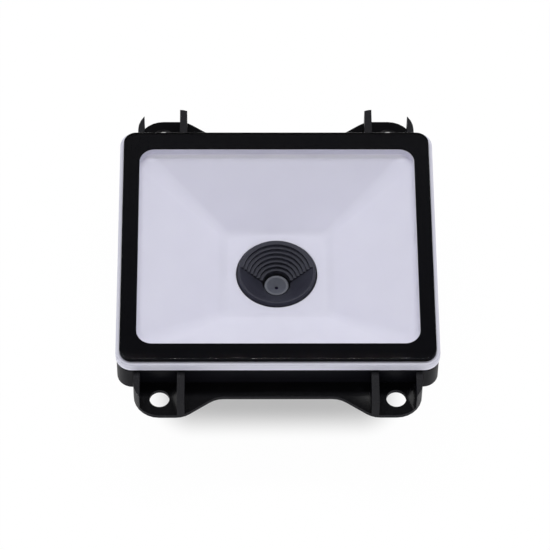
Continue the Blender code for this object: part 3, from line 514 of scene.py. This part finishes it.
def stripes(tree, along, pitch, share):
    """1 on a share of each pitch along a coordinate, 0 between."""
    part = maths(tree, "FRACT", maths(tree, "DIVIDE", along, pitch))
    return maths(tree, "LESS_THAN", part, share)


def moulded(name, dark, light, rough, specular, grain=GRAIN, depth=0.00001, share=None):
    """Moulded plastic: cloudy tint, uneven sheen and a fine spark-eroded grain. Share is a function
    that gives the share of the colour from the height, and paints light and shade into it."""
    material, tree, shader = new_finish(name, light, rough[0], specular)
    coords = object_coords(tree)
    colour = tint(tree, noise(tree, coords, CLOUDS), dark, light)
    if share:
        scale = {0: colour, "Scale": share(tree, axes(tree, coords)[2])}
        colour = vector_maths(tree, "SCALE", scale)
    fine = noise(tree, coords, grain, detail=4.0)
    feed(tree, shader, {"Base Color": colour, "Roughness": spread(tree, fine, *rough)})
    relief(tree, shader, fine, depth)
    return material


def ring_painted_shade(tree, height):
    """Painted shade on the light ring: darker in its upper half, and darkest along its top edge,
    under the glass.
    """
    upper = fade(tree, height, (ring_top - 0.0020, 1.0), (ring_top - 0.0012, 0.85))
    edge = fade(tree, height, (ring_top - 0.0004, 1.0), (ring_top - 0.0001, 0.78))
    return maths(tree, "MULTIPLY", upper, edge)


def well_painted_light_and_shade(tree, height):
    """Painted light and shade on the well: its floor is painted a little darker than its walls, and
    the top of the far wall is painted lighter, where the border's shadow falls on it."""
    crease = well_top - LIP
    floor = crease - WELL_DEPTH
    # painted shade on the floor, and painted light on the top of the far wall
    foot = fade(tree, height, (floor + 0.0010, 1.0), (floor + 0.0002, 0.96))
    lit = fade(tree, height, (crease - 0.0009, 1.0), (crease - 0.0003, FAR_WALL_PAINTED_LIGHT))
    upright = fade(tree, height, (crease - 0.0001, 1.0), (crease + 0.0004, 1 / FAR_WALL_PAINTED_LIGHT))
    far = fade(tree, normal_axes(tree)[1], (-0.2, 0.0), (-0.4, 1.0))
    glow = maths(tree, "POWER", maths(tree, "MULTIPLY", lit, upright), far)
    return maths(tree, "MULTIPLY", foot, glow)


def housing_plastic():
    """Black moulding. Faces that look up are smooth and darkest. The sides are rougher, with a
    grain, and are painted greyer as painted light. The tops of the ribs are painted light grey as a
    painted highlight."""
    material, tree, shader = new_finish("black_moulding", (0.003, 0.003, 0.003), 0.15, 0.07)
    coords = object_coords(tree)
    clouds = noise(tree, coords, CLOUDS)
    fine = noise(tree, coords, GRAIN, detail=4.0)
    up = normal_axes(tree)[2]
    height = axes(tree, coords)[2]
    flange = front - FLANGE_DEPTH
    rib = fade(tree, height, (flange + 0.0003, 0.0), (flange + 0.0008, 1.0))
    side = fade(tree, up, (SIDE_NORMAL, 1.0), (TOP_NORMAL, 0.0))
    # painted highlight: the tops of the ribs are painted lighter grey
    painted_highlight_mask = maths(tree, "MULTIPLY", rib, maths(tree, "SUBTRACT", 1.0, side))
    smooth = tint(tree, clouds, (0.0026, 0.0026, 0.0032), (0.0038, 0.0038, 0.0046))
    # painted light: the sides are painted greyer than the tops
    painted_light_side_colour = tint(tree, clouds, (0.006, 0.006, 0.0085), (0.008, 0.008, 0.0110))
    painted_highlight_colour = tint(tree, fine, (0.015, 0.015, 0.017), (0.021, 0.021, 0.023))
    colour = mix_colours(tree, painted_highlight_mask, mix_colours(tree, side, smooth, painted_light_side_colour), painted_highlight_colour)
    sheen = maths(tree, "MULTIPLY", side, 0.25)
    rough = maths(tree, "ADD", sheen, spread(tree, fine, 0.13, 0.17))
    specular = fade(tree, up, (SIDE_NORMAL, 0.08), (TOP_NORMAL, 0.045))
    feed(tree, shader, {"Base Color": colour, "Roughness": rough, "Specular IOR Level": specular})
    relief(tree, shader, fine, 0.000004)
    return material


def circuit_board():
    """Solder mask over copper: cells of lighter mask, thin tracks between them and small tinned
    dots."""
    material, tree, shader = new_finish("solder_mask", (0.01, 0.09, 0.03), 0.35)
    coords = object_coords(tree)
    track = maths(tree, "LESS_THAN", cells(tree, coords, 380, "DISTANCE_TO_EDGE"), 0.05)
    tinned = maths(tree, "LESS_THAN", cells(tree, coords, 520, "F1"), 0.11)
    mask = tint(tree, noise(tree, coords, 240), (0.008, 0.075, 0.026), (0.014, 0.11, 0.04))
    mask = mix_colours(tree, track, mask, (0.03, 0.17, 0.07))
    colour = mix_colours(tree, tinned, mask, (0.55, 0.55, 0.52))
    rough = spread(tree, noise(tree, coords, 900), 0.28, 0.42)
    feed(tree, shader, {"Base Color": colour, "Roughness": rough})
    relief(tree, shader, maths(tree, "MAXIMUM", track, tinned), 0.00003)
    return material


def striped(name, pitch, share, bright, dark, rough):
    """Flat cable or contacts: conductors side by side along X, under a faintly wavy film."""
    material, tree, shader = new_finish(name, dark, rough[0])
    coords = object_coords(tree)
    lines = stripes(tree, axes(tree, coords)[0], pitch, share)
    wave = noise(tree, coords, 700)
    colour = mix_colours(tree, lines, dark, bright)
    feed(tree, shader, {"Base Color": colour, "Roughness": spread(tree, wave, *rough)})
    relief(tree, shader, maths(tree, "ADD", lines, wave), 0.00002)
    return material


def turned_metal(name, dark, light, rough, stretch):
    """Metal with a fine grain drawn out along one way."""
    material, tree, shader = new_finish(name, light, rough[0], metallic=1.0)
    drawn = noise(tree, object_coords(tree), 900, detail=5.0, stretch=stretch)
    colour = tint(tree, drawn, dark, light)
    feed(tree, shader, {"Base Color": colour, "Roughness": spread(tree, drawn, *rough)})
    relief(tree, shader, drawn, 0.000008)
    return material


def lamp_package():
    """A white housing whose upward face is filled with yellow phosphor."""
    material, tree, shader = new_finish("led_package", (0.8, 0.8, 0.76), 0.35)
    filled = maths(tree, "GREATER_THAN", normal_axes(tree)[2], 0.95)
    grain = noise(tree, object_coords(tree), 1500)
    housing = tint(tree, grain, (0.74, 0.74, 0.70), (0.84, 0.84, 0.80))
    phosphor = tint(tree, grain, (0.82, 0.60, 0.10), (0.90, 0.72, 0.18))
    colour = mix_colours(tree, filled, housing, phosphor)
    feed(tree, shader, {"Base Color": colour, "Roughness": spread(tree, grain, 0.3, 0.5)})
    return material


def coated_lens():
    """A dark coated element: deep blue with a violet cast in places."""
    material, tree, shader = new_finish("coated_lens", (0.01, 0.015, 0.05), 0.03, 0.8)
    coords = object_coords(tree)
    colour = tint(tree, noise(tree, coords, 300), (0.008, 0.015, 0.05), (0.04, 0.01, 0.06))
    rough = spread(tree, noise(tree, coords, 1500), 0.02, 0.06)
    feed(tree, shader, {"Base Color": colour, "Roughness": rough})
    return material


def clear_glass():
    """Thin polished pane: what lies behind shows straight through, less what its front face
    mirrors, and faint smears roughen the mirror image."""
    material, tree, shader = new_finish("float_glass", (0.01, 0.01, 0.01), 0.02, 0.2)
    tree.nodes.remove(shader)
    smears = noise(tree, object_coords(tree), 90, detail=5.0)
    gloss = tree.nodes.new("ShaderNodeBsdfGlossy")
    feed(tree, gloss, {"Roughness": spread(tree, smears, 0.0, 0.015)})
    clear = tree.nodes.new("ShaderNodeBsdfTransparent")
    feed(tree, clear, {"Color": (0.985, 0.99, 0.99, 1)})
    fresnel = tree.nodes.new("ShaderNodeFresnel")
    feed(tree, fresnel, {"IOR": 1.28})
    behind = tree.nodes.new("ShaderNodeNewGeometry").outputs["Backfacing"]
    mirrored = tree.nodes.new("ShaderNodeMix")
    feed(tree, mirrored, {0: behind, 2: fresnel.outputs["Fac"], 3: 0.0})
    surface = mix_shaders(tree, mirrored.outputs[0], clear.outputs["BSDF"], gloss.outputs["BSDF"])
    feed(tree, tree.nodes["Material Output"], {"Surface": surface})
    return material


# Pieces


def make_glass(finish):
    """Pane: a flat face inside, an eased arris all round, a straight ground edge and the same
    below."""
    thickness = front - glass_low
    corners = [(-GLASS_FLAT, 0), (0, 0), (0, thickness), (-GLASS_FLAT, thickness)]
    edge = eased(corners, GLASS_ARRIS, closed=False)
    grid = rows_to_pole(edge, glass_half, GLASS_CORNER, (0, thickness))
    add_piece("glass_pane", [patch(grid)], finish, ["window_glass"])


def make_print(finish):
    """The black border: a thin layer in the glass from its edge to the window, and a coat round
    the ground edge. The coat's foot, a dark sheet in the gap down to the ring, is painted shade."""
    start, coat, inside = (
        (*(glass_half + out), GLASS_CORNER + out) for out in (COAT_START, COAT_OUT, -COAT_IN)
    )
    # down to just above the ring: the dark sheet in the gap beneath the glass is painted shade
    low = front - ring_top - COAT_ABOVE_RING
    under = front - glass_low + COAT_BELOW_GLASS
    rows = [
        (*start, GLASS_ARRIS),
        (*coat, GLASS_ARRIS + COAT_SWELL),
        (*coat, low),
        (*inside, low),
        (*inside, under),
        (*start, under),
    ]
    grid = sized_rows(rows)
    add_piece("edge_coat", [patch(grid, ring=True)], finish, ["window_tape"])
    window = (*WINDOW_HALF, WINDOW_CORNER)
    bottom = PRINT_DEPTH + PRINT_THICKNESS
    rows = [(*inside, bottom), (*window, bottom), (*window, PRINT_DEPTH), (*inside, PRINT_DEPTH)]
    grid = sized_rows(rows)
    grid[1:3, :, 0] += WINDOW_SHIFT
    add_piece("border_print", [patch(grid, ring=True)], finish, ["window_tape"])


def make_ring(finish):
    """The light ring: its outer face pillowed between two eased edges, a rim under the glass's
    edge, the rebate for the print and the skirt inside the wall."""
    top = front - ring_top
    bottom = top + RING_FACE
    skirt = front - ring_box[0].z
    rebate = front - well_top
    corners = [
        (RING_MARGIN, top),
        (RING_MARGIN, bottom),
        (-RING_SKIRT, bottom),
        (-RING_SKIRT, skirt),
        (-RING_SHELF, skirt),
        (-RING_SHELF, rebate),
        (-RING_STEP, rebate),
        (-RING_STEP, top),
    ]
    grid = framed(eased(corners, [RING_EDGE] * 2 + [EASE] * 6, steps=7), glass_half, GLASS_CORNER)
    add_piece("ring_frame", [patch(grid, ring=True)], finish, ["light_ring"])


def make_well(finish):
    """The light well: flange, upright lip, four sloped walls whose corners tighten from the
    window's radius to the floor's, a parabola (1-s)^2 A + 2s(1-s) C + s^2 B from each wall into the
    floor, and the round hole; the back follows a wall's thickness behind."""
    top = front - well_top
    floor = top + LIP + WELL_DEPTH
    flange = (*(glass_half - RING_SHELF - RING_GAP), WELL_FLANGE_CORNER)
    bead = (*(WINDOW_HALF + BEAD_WIDTH), WINDOW_CORNER + BEAD_WIDTH)
    window = (*WINDOW_HALF, WINDOW_CORNER)
    sizes = [  # outline, depth, and the rows from there to the next
        (flange, top + WELL_FLANGE, 6),
        (flange, top, 6),
        (bead, top, 3),
        (bead, BEAD_DEPTH, 3),
        (window, BEAD_DEPTH, 10),
        (window, top + LIP, 40),
        ((*FLOOR_HALF, FLOOR_CORNER), floor, 0),
    ]
    inner = np.array([[*shape, depth] for shape, depth, _ in sizes])
    rows = []
    for a, b, (_, _, count) in zip(inner, inner[1:], sizes):
        rows.append(a + (b - a) * np.linspace(0, 1, count, endpoint=False)[:, None])
    walls = sized_rows(np.concatenate(rows + [inner[-1:]]))
    edge = walls[-1, :, :2]
    rim = edge / np.linalg.norm(edge, axis=-1, keepdims=True) * (FOOT_RADIUS + HOLE_GAP)
    share = np.linspace(FOOT_SHARE, 1, FLOOR_ROWS)[:, None, None]
    flat = at_depth(edge * (1 - share) + rim * share, floor)
    s = np.linspace(0, 1, SOFT_ROWS, endpoint=False)[:, None, None]
    soft = (1 - s) ** 2 * walls[-1 - FOOT_ROWS] + 2 * s * (1 - s) * walls[-1] + s**2 * flat[0]
    back = [
        (*(FLOOR_HALF + BACK_SHIFT), FLOOR_CORNER + BACK_SHIFT, floor + WELL_WALL),
        (*(WINDOW_HALF - BACK_SHIFT), WINDOW_CORNER, top + BACK_TOP),
    ]
    hole = at_depth(rim[None], floor + WELL_WALL)
    grid = np.concatenate([walls[: -1 - FOOT_ROWS], soft, flat, hole, sized_rows(back)])
    patches = [patch(grid, ring=True)]
    sharp = SHARP_ANGLE_HOLLOW
    add_piece("light_well", patches, finish, ["diffuser"], sharp)


def by_length(profile, count):
    """Points spread evenly over a profile by the length run from its start, |dr| + |dz| added
    up."""
    run = np.concatenate([[0], np.cumsum(np.abs(np.diff(profile, axis=0)).sum(axis=1))])
    at = np.linspace(0, run[-1], count)
    return np.stack([np.interp(at, run, axis) for axis in profile.T], axis=-1)


def hood_profiles():
    """Radius and height of the hood where it is stepped and where it is a cone, row for row: the
    inside from the throat to the rim, then the outside from the rim to the collar and the tube,
    which both share."""
    throat = hood_rim - THROAT_BOTTOM
    tread = (STEP_TOP_RADIUS - THROAT_RADIUS) / STEP_COUNT
    corners, reach = [(THROAT_RADIUS, throat)], [THROAT_EASE]
    for step in range(STEP_COUNT):
        radius = THROAT_RADIUS + tread * step
        height = hood_rim - STEP_DROP * (STEP_COUNT - step)
        corners += [(radius, height), (radius + tread, height)]
        reach += [STEP_NOSE, EASE]
    corners += [(STEP_TOP_RADIUS, hood_rim), (CONE_RADIUS, hood_rim)]
    stepped = eased(corners, reach + [STEP_NOSE, EASE], steps=4, closed=False)
    knee = (THROAT_RADIUS, hood_rim - CONE_DEPTH)
    corners = [(THROAT_RADIUS, throat), knee, (CONE_RADIUS, hood_rim)]
    cone = eased(corners, [EASE, CONE_EASE, EASE], steps=4, closed=False)
    smooth = by_length(cone, len(stepped))
    corners = [
        (CONE_RADIUS, hood_rim),
        (RIM_RADIUS, hood_rim),
        (FOOT_RADIUS, hood_rim - HOOD_RISE),
        (FOOT_RADIUS, collar_top),
        (COLLAR_RADIUS, collar_top),
        (COLLAR_RADIUS, collar_top - COLLAR_HEIGHT),
        (TUBE_RADIUS, collar_top - COLLAR_HEIGHT),
        (TUBE_RADIUS, throat - TUBE_DROP),
        (TUBE_BORE, throat - TUBE_DROP),
        (TUBE_BORE, throat),
    ]
    outside = eased(corners, [EASE, RIM_EASE] + [EASE] * 8, closed=False)[1:]
    return np.concatenate([stepped, outside]), np.concatenate([smooth, outside])


def hood_grid():
    """The stepped profile turned from the cone's end on the right to the one on the left over the
    far side, and the cone's profile over the near side: x = r cos a, y = r sin a."""
    stepped, smooth = hood_profiles()
    far = np.linspace(CONE_TURN, math.pi - CONE_TURN, STEPPED_POINTS)
    near = np.linspace(far[-1] + CONE_JOIN, 2 * math.pi + far[0] - CONE_JOIN, CONE_POINTS)
    angle = np.concatenate([far, near])
    on_steps = np.arange(len(angle)) < len(far)
    radius, height = np.where(on_steps, stepped.T[..., None], smooth.T[..., None])
    return np.stack([radius * np.cos(angle), radius * np.sin(angle), height], axis=-1)


def plate_outline():
    """The chassis plate's edge with its two tabs, each corner rounded."""
    x, y = board_half
    tip = hood_box[1].x
    right = [(x, -y), (x, -TAB_HALF), (tip, -TAB_HALF), (tip, TAB_HALF), (x, TAB_HALF), (x, y)]
    return eased(right + [(-a, -b) for a, b in right], PLATE_CORNER, steps=9)


def plate_grid(top, bottom):
    """Rows of the plate's edge and of its round hole's, whose points lie at the same angles about
    the middle."""
    edge = plate_outline()
    angle = np.arctan2(edge[:, 1], edge[:, 0])
    ring = PLATE_HOLE * np.stack([np.cos(angle), np.sin(angle)], axis=-1)
    rows = [(edge, top), (edge, bottom), (ring, bottom), (ring, top)]
    return np.stack([np.column_stack([plan, np.full(len(plan), height)]) for plan, height in rows])


def make_hood(finish):
    """The hood, and the plate round it with tabs and four bored posts. Both are one moulding."""
    hood = [patch(hood_grid(), ring=True)]
    sharp = SHARP_ANGLE_HOLLOW
    add_piece("hood_cone", hood, finish, ["lens_hood"], sharp)
    top = collar_top - PLATE_DROP
    patches = [patch(plate_grid(top, top - PLATE_THICKNESS), ring=True)]
    radii = np.array([POST_RADIUS, POST_RADIUS, POST_BORE, POST_BORE])
    head, foot = top - POST_SINK, hood_box[0].z
    post = np.column_stack([radii, (head, foot, foot, head)])
    x, y = board_half - POST_INSET
    for centre in ((x, y), (-x, y), (-x, -y), (x, -y)):
        patches.append(patch(lathe(post, centre, POST_POINTS), ring=True))
    plate = add_piece("chassis_plate", patches, finish, ["lens_hood"], sharp)
    ease_edges(plate, PLATE_EASE)


def make_barrel(finish):
    """The barrel: eased face, a dish that falls to the small aperture, and the bore behind it."""
    top, bottom = barrel_box[1].z, barrel_box[0].z
    dish = top - DISH_DEPTH
    corners = [
        (DISH_RADIUS, top),
        (FACE_RADIUS, top),
        (BARREL_RADIUS, top - FACE_SLOPE),
        (BARREL_RADIUS, bottom),
        (BARREL_BORE, bottom),
        (BARREL_BORE, dish - DISH_WALL),
        (APERTURE, dish),
    ]
    profile = eased(corners, [FACE_EASE] + [EASE] * 5 + [APERTURE_EASE])
    patches = [patch(lathe(profile), ring=True)]
    add_piece("barrel_face", patches, finish, ["lens_barrel"])


def screw_grid(node):
    """A pan-head screw, tip up: its head's outer face sinks by depth x a x b where the cross's arms
    lie, with a = clip((slot - min(|u|,|w|)) / soft) and b = clip((arm - max(|u|,|w|)) / soft) about
    the screw's middle."""
    low, high = (np.array(corner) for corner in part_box(node))
    middle = (low + high)[:2] / 2
    head = (high[0] - low[0]) / 2
    shaft, thick = head * SHAFT_SHARE, head * HEAD_SHARE
    seat = low[2] + thick
    corners = [
        (shaft * TIP_SHARE, high[2]),
        (shaft, high[2] - shaft),
        (shaft, seat),
        (head, seat),
        (head, low[2] + thick * SIDE_SHARE),
        (head * DOME_SHARE, low[2]),
        (0, low[2]),
    ]
    profile = eased(corners, [EASE] * 4 + [HEAD_EASE] * 2 + [EASE], steps=6, closed=False)[:-2]
    radii = np.linspace(head * FACE_SHARE, 0, SCREW_ROWS)
    face = np.column_stack([radii, np.full(SCREW_ROWS, low[2])])
    tip = np.array([(0, high[2])])
    grid = lathe(np.concatenate([tip, profile, face]), tuple(middle), SCREW_POINTS)
    u, w = np.abs(grid[..., :2] - middle).transpose(2, 0, 1)
    across = np.clip((head * SLOT_SHARE - np.minimum(u, w)) / (head * SLOT_SOFT), 0, 1)
    along = np.clip((head * ARM_SHARE - np.maximum(u, w)) / (head * ARM_SOFT), 0, 1)
    grid[-SCREW_ROWS:, :, 2] += thick * CROSS_SHARE * (across * along)[-SCREW_ROWS:]
    return grid


def make_cover_screws(finish):
    """The rear cover's four screws, whose heads show."""
    for number in range(1, 5):
        node = f"cover_screw_{number}"
        patches = [patch(screw_grid(node))]
        name = f"pan_head_{number}"
        add_piece(name, patches, finish, [node], SHARP_ANGLE_BLOCK)


def merged_copy(node):
    """The node's loose triangles as one welded mesh, its flat faces whole again."""
    bm = bmesh.new()
    bm.from_mesh(nodes[node].data)
    bmesh.ops.remove_doubles(bm, verts=bm.verts, dist=WELD)
    flat = math.radians(FLAT_ANGLE)
    bmesh.ops.dissolve_limit(bm, angle_limit=flat, verts=bm.verts, edges=bm.edges)
    mesh = bpy.data.meshes.new(node + "_copy")
    bm.to_mesh(mesh)
    bm.free()
    return mesh


def make_moulding(name, node, finish, width):
    """A rigid node's own form with every edge eased."""
    piece = finish_piece(name, merged_copy(node), finish, [node], SHARP_ANGLE_BLOCK)
    ease_edges(piece, width)


def dress_outside(black, screw):
    """The pieces made here, each in its own finish."""
    make_glass(clear_glass())
    ink = (0.0024, 0.0024, 0.0034), (0.0030, 0.0030, 0.0042)
    make_print(moulded("printed_border", *ink, (0.10, 0.14), 0.02, depth=0.000001))
    tints = (0.84, 0.84, 0.98), (0.88, 0.88, 1.0)
    make_ring(moulded("ring_white", *tints, (0.35, 0.45), 0.25, share=ring_painted_shade))
    tints = (0.655, 0.64, 0.74), (0.675, 0.66, 0.76)
    well = moulded("well_white", *tints, (0.55, 0.65), 0.3, share=well_painted_light_and_shade)
    body = {
        "Subsurface Weight": 0.6,
        "Subsurface Radius": (1.0, 1.0, 1.0),
        "Subsurface Scale": 0.0008,
    }
    feed(well.node_tree, well.node_tree.nodes["Principled BSDF"], body)
    make_well(well)
    tints = (0.025, 0.025, 0.038), (0.030, 0.030, 0.044)
    make_hood(moulded("hood_black", *tints, (0.34, 0.44), 0.12))
    tints = (0.082, 0.085, 0.108), (0.096, 0.099, 0.125)
    make_barrel(moulded("barrel_grey", *tints, (0.4, 0.5), 0.3))
    make_moulding("housing_shell", "front_housing", black, HOUSING_EASE)
    make_moulding("cover_dish", "rear_cover", black, COVER_EASE)
    make_cover_screws(screw)


def dress_nodes(black, screw):
    """The finishes of the nodes that keep their own form, by name or by a part of the name. The
    rest are black plastic."""
    chip = (0.014, 0.014, 0.016), (0.024, 0.024, 0.026)
    glass = (0.01, 0.012, 0.02), (0.02, 0.016, 0.03)
    shell = (0.012, 0.012, 0.013), (0.02, 0.02, 0.021)
    steel = (0.42, 0.42, 0.43), (0.62, 0.62, 0.63)
    rubber = (0.018, 0.018, 0.018), (0.03, 0.03, 0.03)
    gold = (0.65, 0.45, 0.12), (0.015, 0.015, 0.016)
    amber = (0.62, 0.36, 0.09), (0.38, 0.18, 0.03)
    finishes = {
        "lens": coated_lens(),
        "image_sensor": moulded("sensor_glass", *glass, (0.05, 0.12), 0.6, depth=0.000001),
        "buzzer": moulded("buzzer_shell", *shell, (0.3, 0.45), 0.3),
        "ribbon_cable": striped("ribbon_film", 0.0005, 0.6, *amber, (0.3, 0.5)),
        "socket_shell": turned_metal("socket_steel", *steel, (0.22, 0.36), (1, 8, 1)),
        "socket_insert": striped("contact_tongue", 0.0005, 0.5, *gold, (0.3, 0.45)),
        "rear_seal": moulded("seal_rubber", *rubber, (0.7, 0.9), 0.25, grain=4000),
    }
    families = {
        "_board": circuit_board(),
        "_chip": moulded("chip_epoxy", *chip, (0.35, 0.55), 0.4, grain=5000),
        "_led_": lamp_package(),
        "_screw_": screw,
    }
    for node, piece in nodes.items():
        family = next((finish for part, finish in families.items() if part in node), black)
        piece.data.materials.clear()
        piece.data.materials.append(finishes.get(node, family))


def dress():
    """Every finish: on the pieces made here, then on the nodes."""
    black = housing_plastic()
    dark, light = (0.05, 0.05, 0.055), (0.12, 0.12, 0.13)
    screw = turned_metal("screw_steel", dark, light, (0.28, 0.42), (1, 1, 6))
    dress_outside(black, screw)
    dress_nodes(black, screw)


# Studio


def make_camera():
    """Looks at its target from a distance, azimuth and elevation, then rolls about its axis."""
    ce, se = math.cos(CAMERA_ELEVATION), math.sin(CAMERA_ELEVATION)
    ca, sa = math.cos(CAMERA_AZIMUTH), math.sin(CAMERA_AZIMUTH)
    cr, sr = math.cos(CAMERA_ROLL), math.sin(CAMERA_ROLL)
    back = Vector((sa * ce, -ca * ce, se))
    level = Vector((ca, sa, 0))
    upright = back.cross(level)
    turn = Matrix((level * cr + upright * sr, upright * cr - level * sr, back)).transposed()
    camera = bpy.data.objects.new("photo_camera", bpy.data.cameras.new("photo_camera"))
    camera.data.sensor_width = SENSOR_WIDTH
    camera.data.lens = FOCAL_PIXELS / PICTURE_PIXELS * SENSOR_WIDTH
    camera.data.clip_start, camera.data.clip_end = CAMERA_CLIP
    place = CAMERA_TARGET + back * CAMERA_DISTANCE
    camera.matrix_world = Matrix.Translation(place) @ turn.to_4x4()
    bpy.context.scene.collection.objects.link(camera)
    bpy.context.scene.camera = camera


def make_softbox(name, place, size, power):
    """A rectangular lamp that faces the middle."""
    lamp = bpy.data.lights.new(name, "AREA")
    lamp.shape = "RECTANGLE"
    lamp.size, lamp.size_y = size
    lamp.energy = power
    holder = bpy.data.objects.new(name, lamp)
    holder.location = place
    holder.rotation_euler = (MIDDLE - Vector(place)).to_track_quat("-Z", "Y").to_euler()
    bpy.context.scene.collection.objects.link(holder)


def make_floor():
    """A large pale floor. Looked at directly it is white but for the soft shadow close round the
    back box, whose share of white grows with the distance from the box's footprint; from below it
    is clear."""
    mesh = bpy.data.meshes.new("floor")
    signs = ((-1, -1), (1, -1), (1, 1), (-1, 1))
    corners = [(STAGE_HALF * x, STAGE_HALF * y, STAGE_HEIGHT) for x, y in signs]
    mesh.from_pydata(corners, [], [(0, 1, 2, 3)])
    floor = bpy.data.objects.new("floor", mesh)
    bpy.context.scene.collection.objects.link(floor)
    material, tree, shader = new_finish("pale_floor", (0.97, 0.97, 0.97), 0.95, 0.0)
    past = vector_maths(tree, "ABSOLUTE", {0: object_coords(tree)})
    past = vector_maths(tree, "SUBTRACT", {0: past, 1: (*SHADOW_HALF, 0)})
    past = vector_maths(tree, "MAXIMUM", {0: past, 1: (0, 0, 0)})
    away = vector_maths(tree, "LENGTH", {0: past}, "Value")
    white = fade(tree, away, (SHADOW_CORE, FLOOR_GLOW[0]), (SHADOW_REACH, FLOOR_GLOW[1]))
    seen = tree.nodes.new("ShaderNodeLightPath").outputs["Is Camera Ray"]
    glow = tree.nodes.new("ShaderNodeEmission").outputs["Emission"]
    above = mix_shaders(tree, maths(tree, "MULTIPLY", seen, white), shader.outputs["BSDF"], glow)
    behind = tree.nodes.new("ShaderNodeNewGeometry").outputs["Backfacing"]
    clear = tree.nodes.new("ShaderNodeBsdfTransparent").outputs["BSDF"]
    surface = mix_shaders(tree, behind, above, clear)
    feed(tree, tree.nodes["Material Output"], {"Surface": surface})
    mesh.materials.append(material)


def make_world():
    """White to look at. It lights with an even soft sky and a dark card that flat tops mirror."""
    world = bpy.data.worlds.new("studio")
    bpy.context.scene.world = world
    world.use_nodes = True
    tree = world.node_tree
    way = tree.nodes.new("ShaderNodeTexCoord").outputs["Generated"]
    card = (0, math.cos(CARD_ELEVATION), math.sin(CARD_ELEVATION))
    facing = vector_maths(tree, "DOT_PRODUCT", {0: way, 1: card}, "Value")
    share = fade(tree, facing, (CARD_EDGE[0], 0.0), (CARD_EDGE[1], 1.0))
    light = mix_colours(tree, share, (SKY, SKY, SKY), CARD_COLOUR)
    seen = tree.nodes.new("ShaderNodeLightPath").outputs["Is Camera Ray"]
    colour = mix_colours(tree, seen, light, WHITE)
    feed(tree, tree.nodes["Background"], {"Color": colour})


dress()
bpy.context.scene.view_settings.view_transform = "Standard"
make_camera()
make_floor()
make_world()
for softbox in SOFTBOXES:
    make_softbox(*softbox)
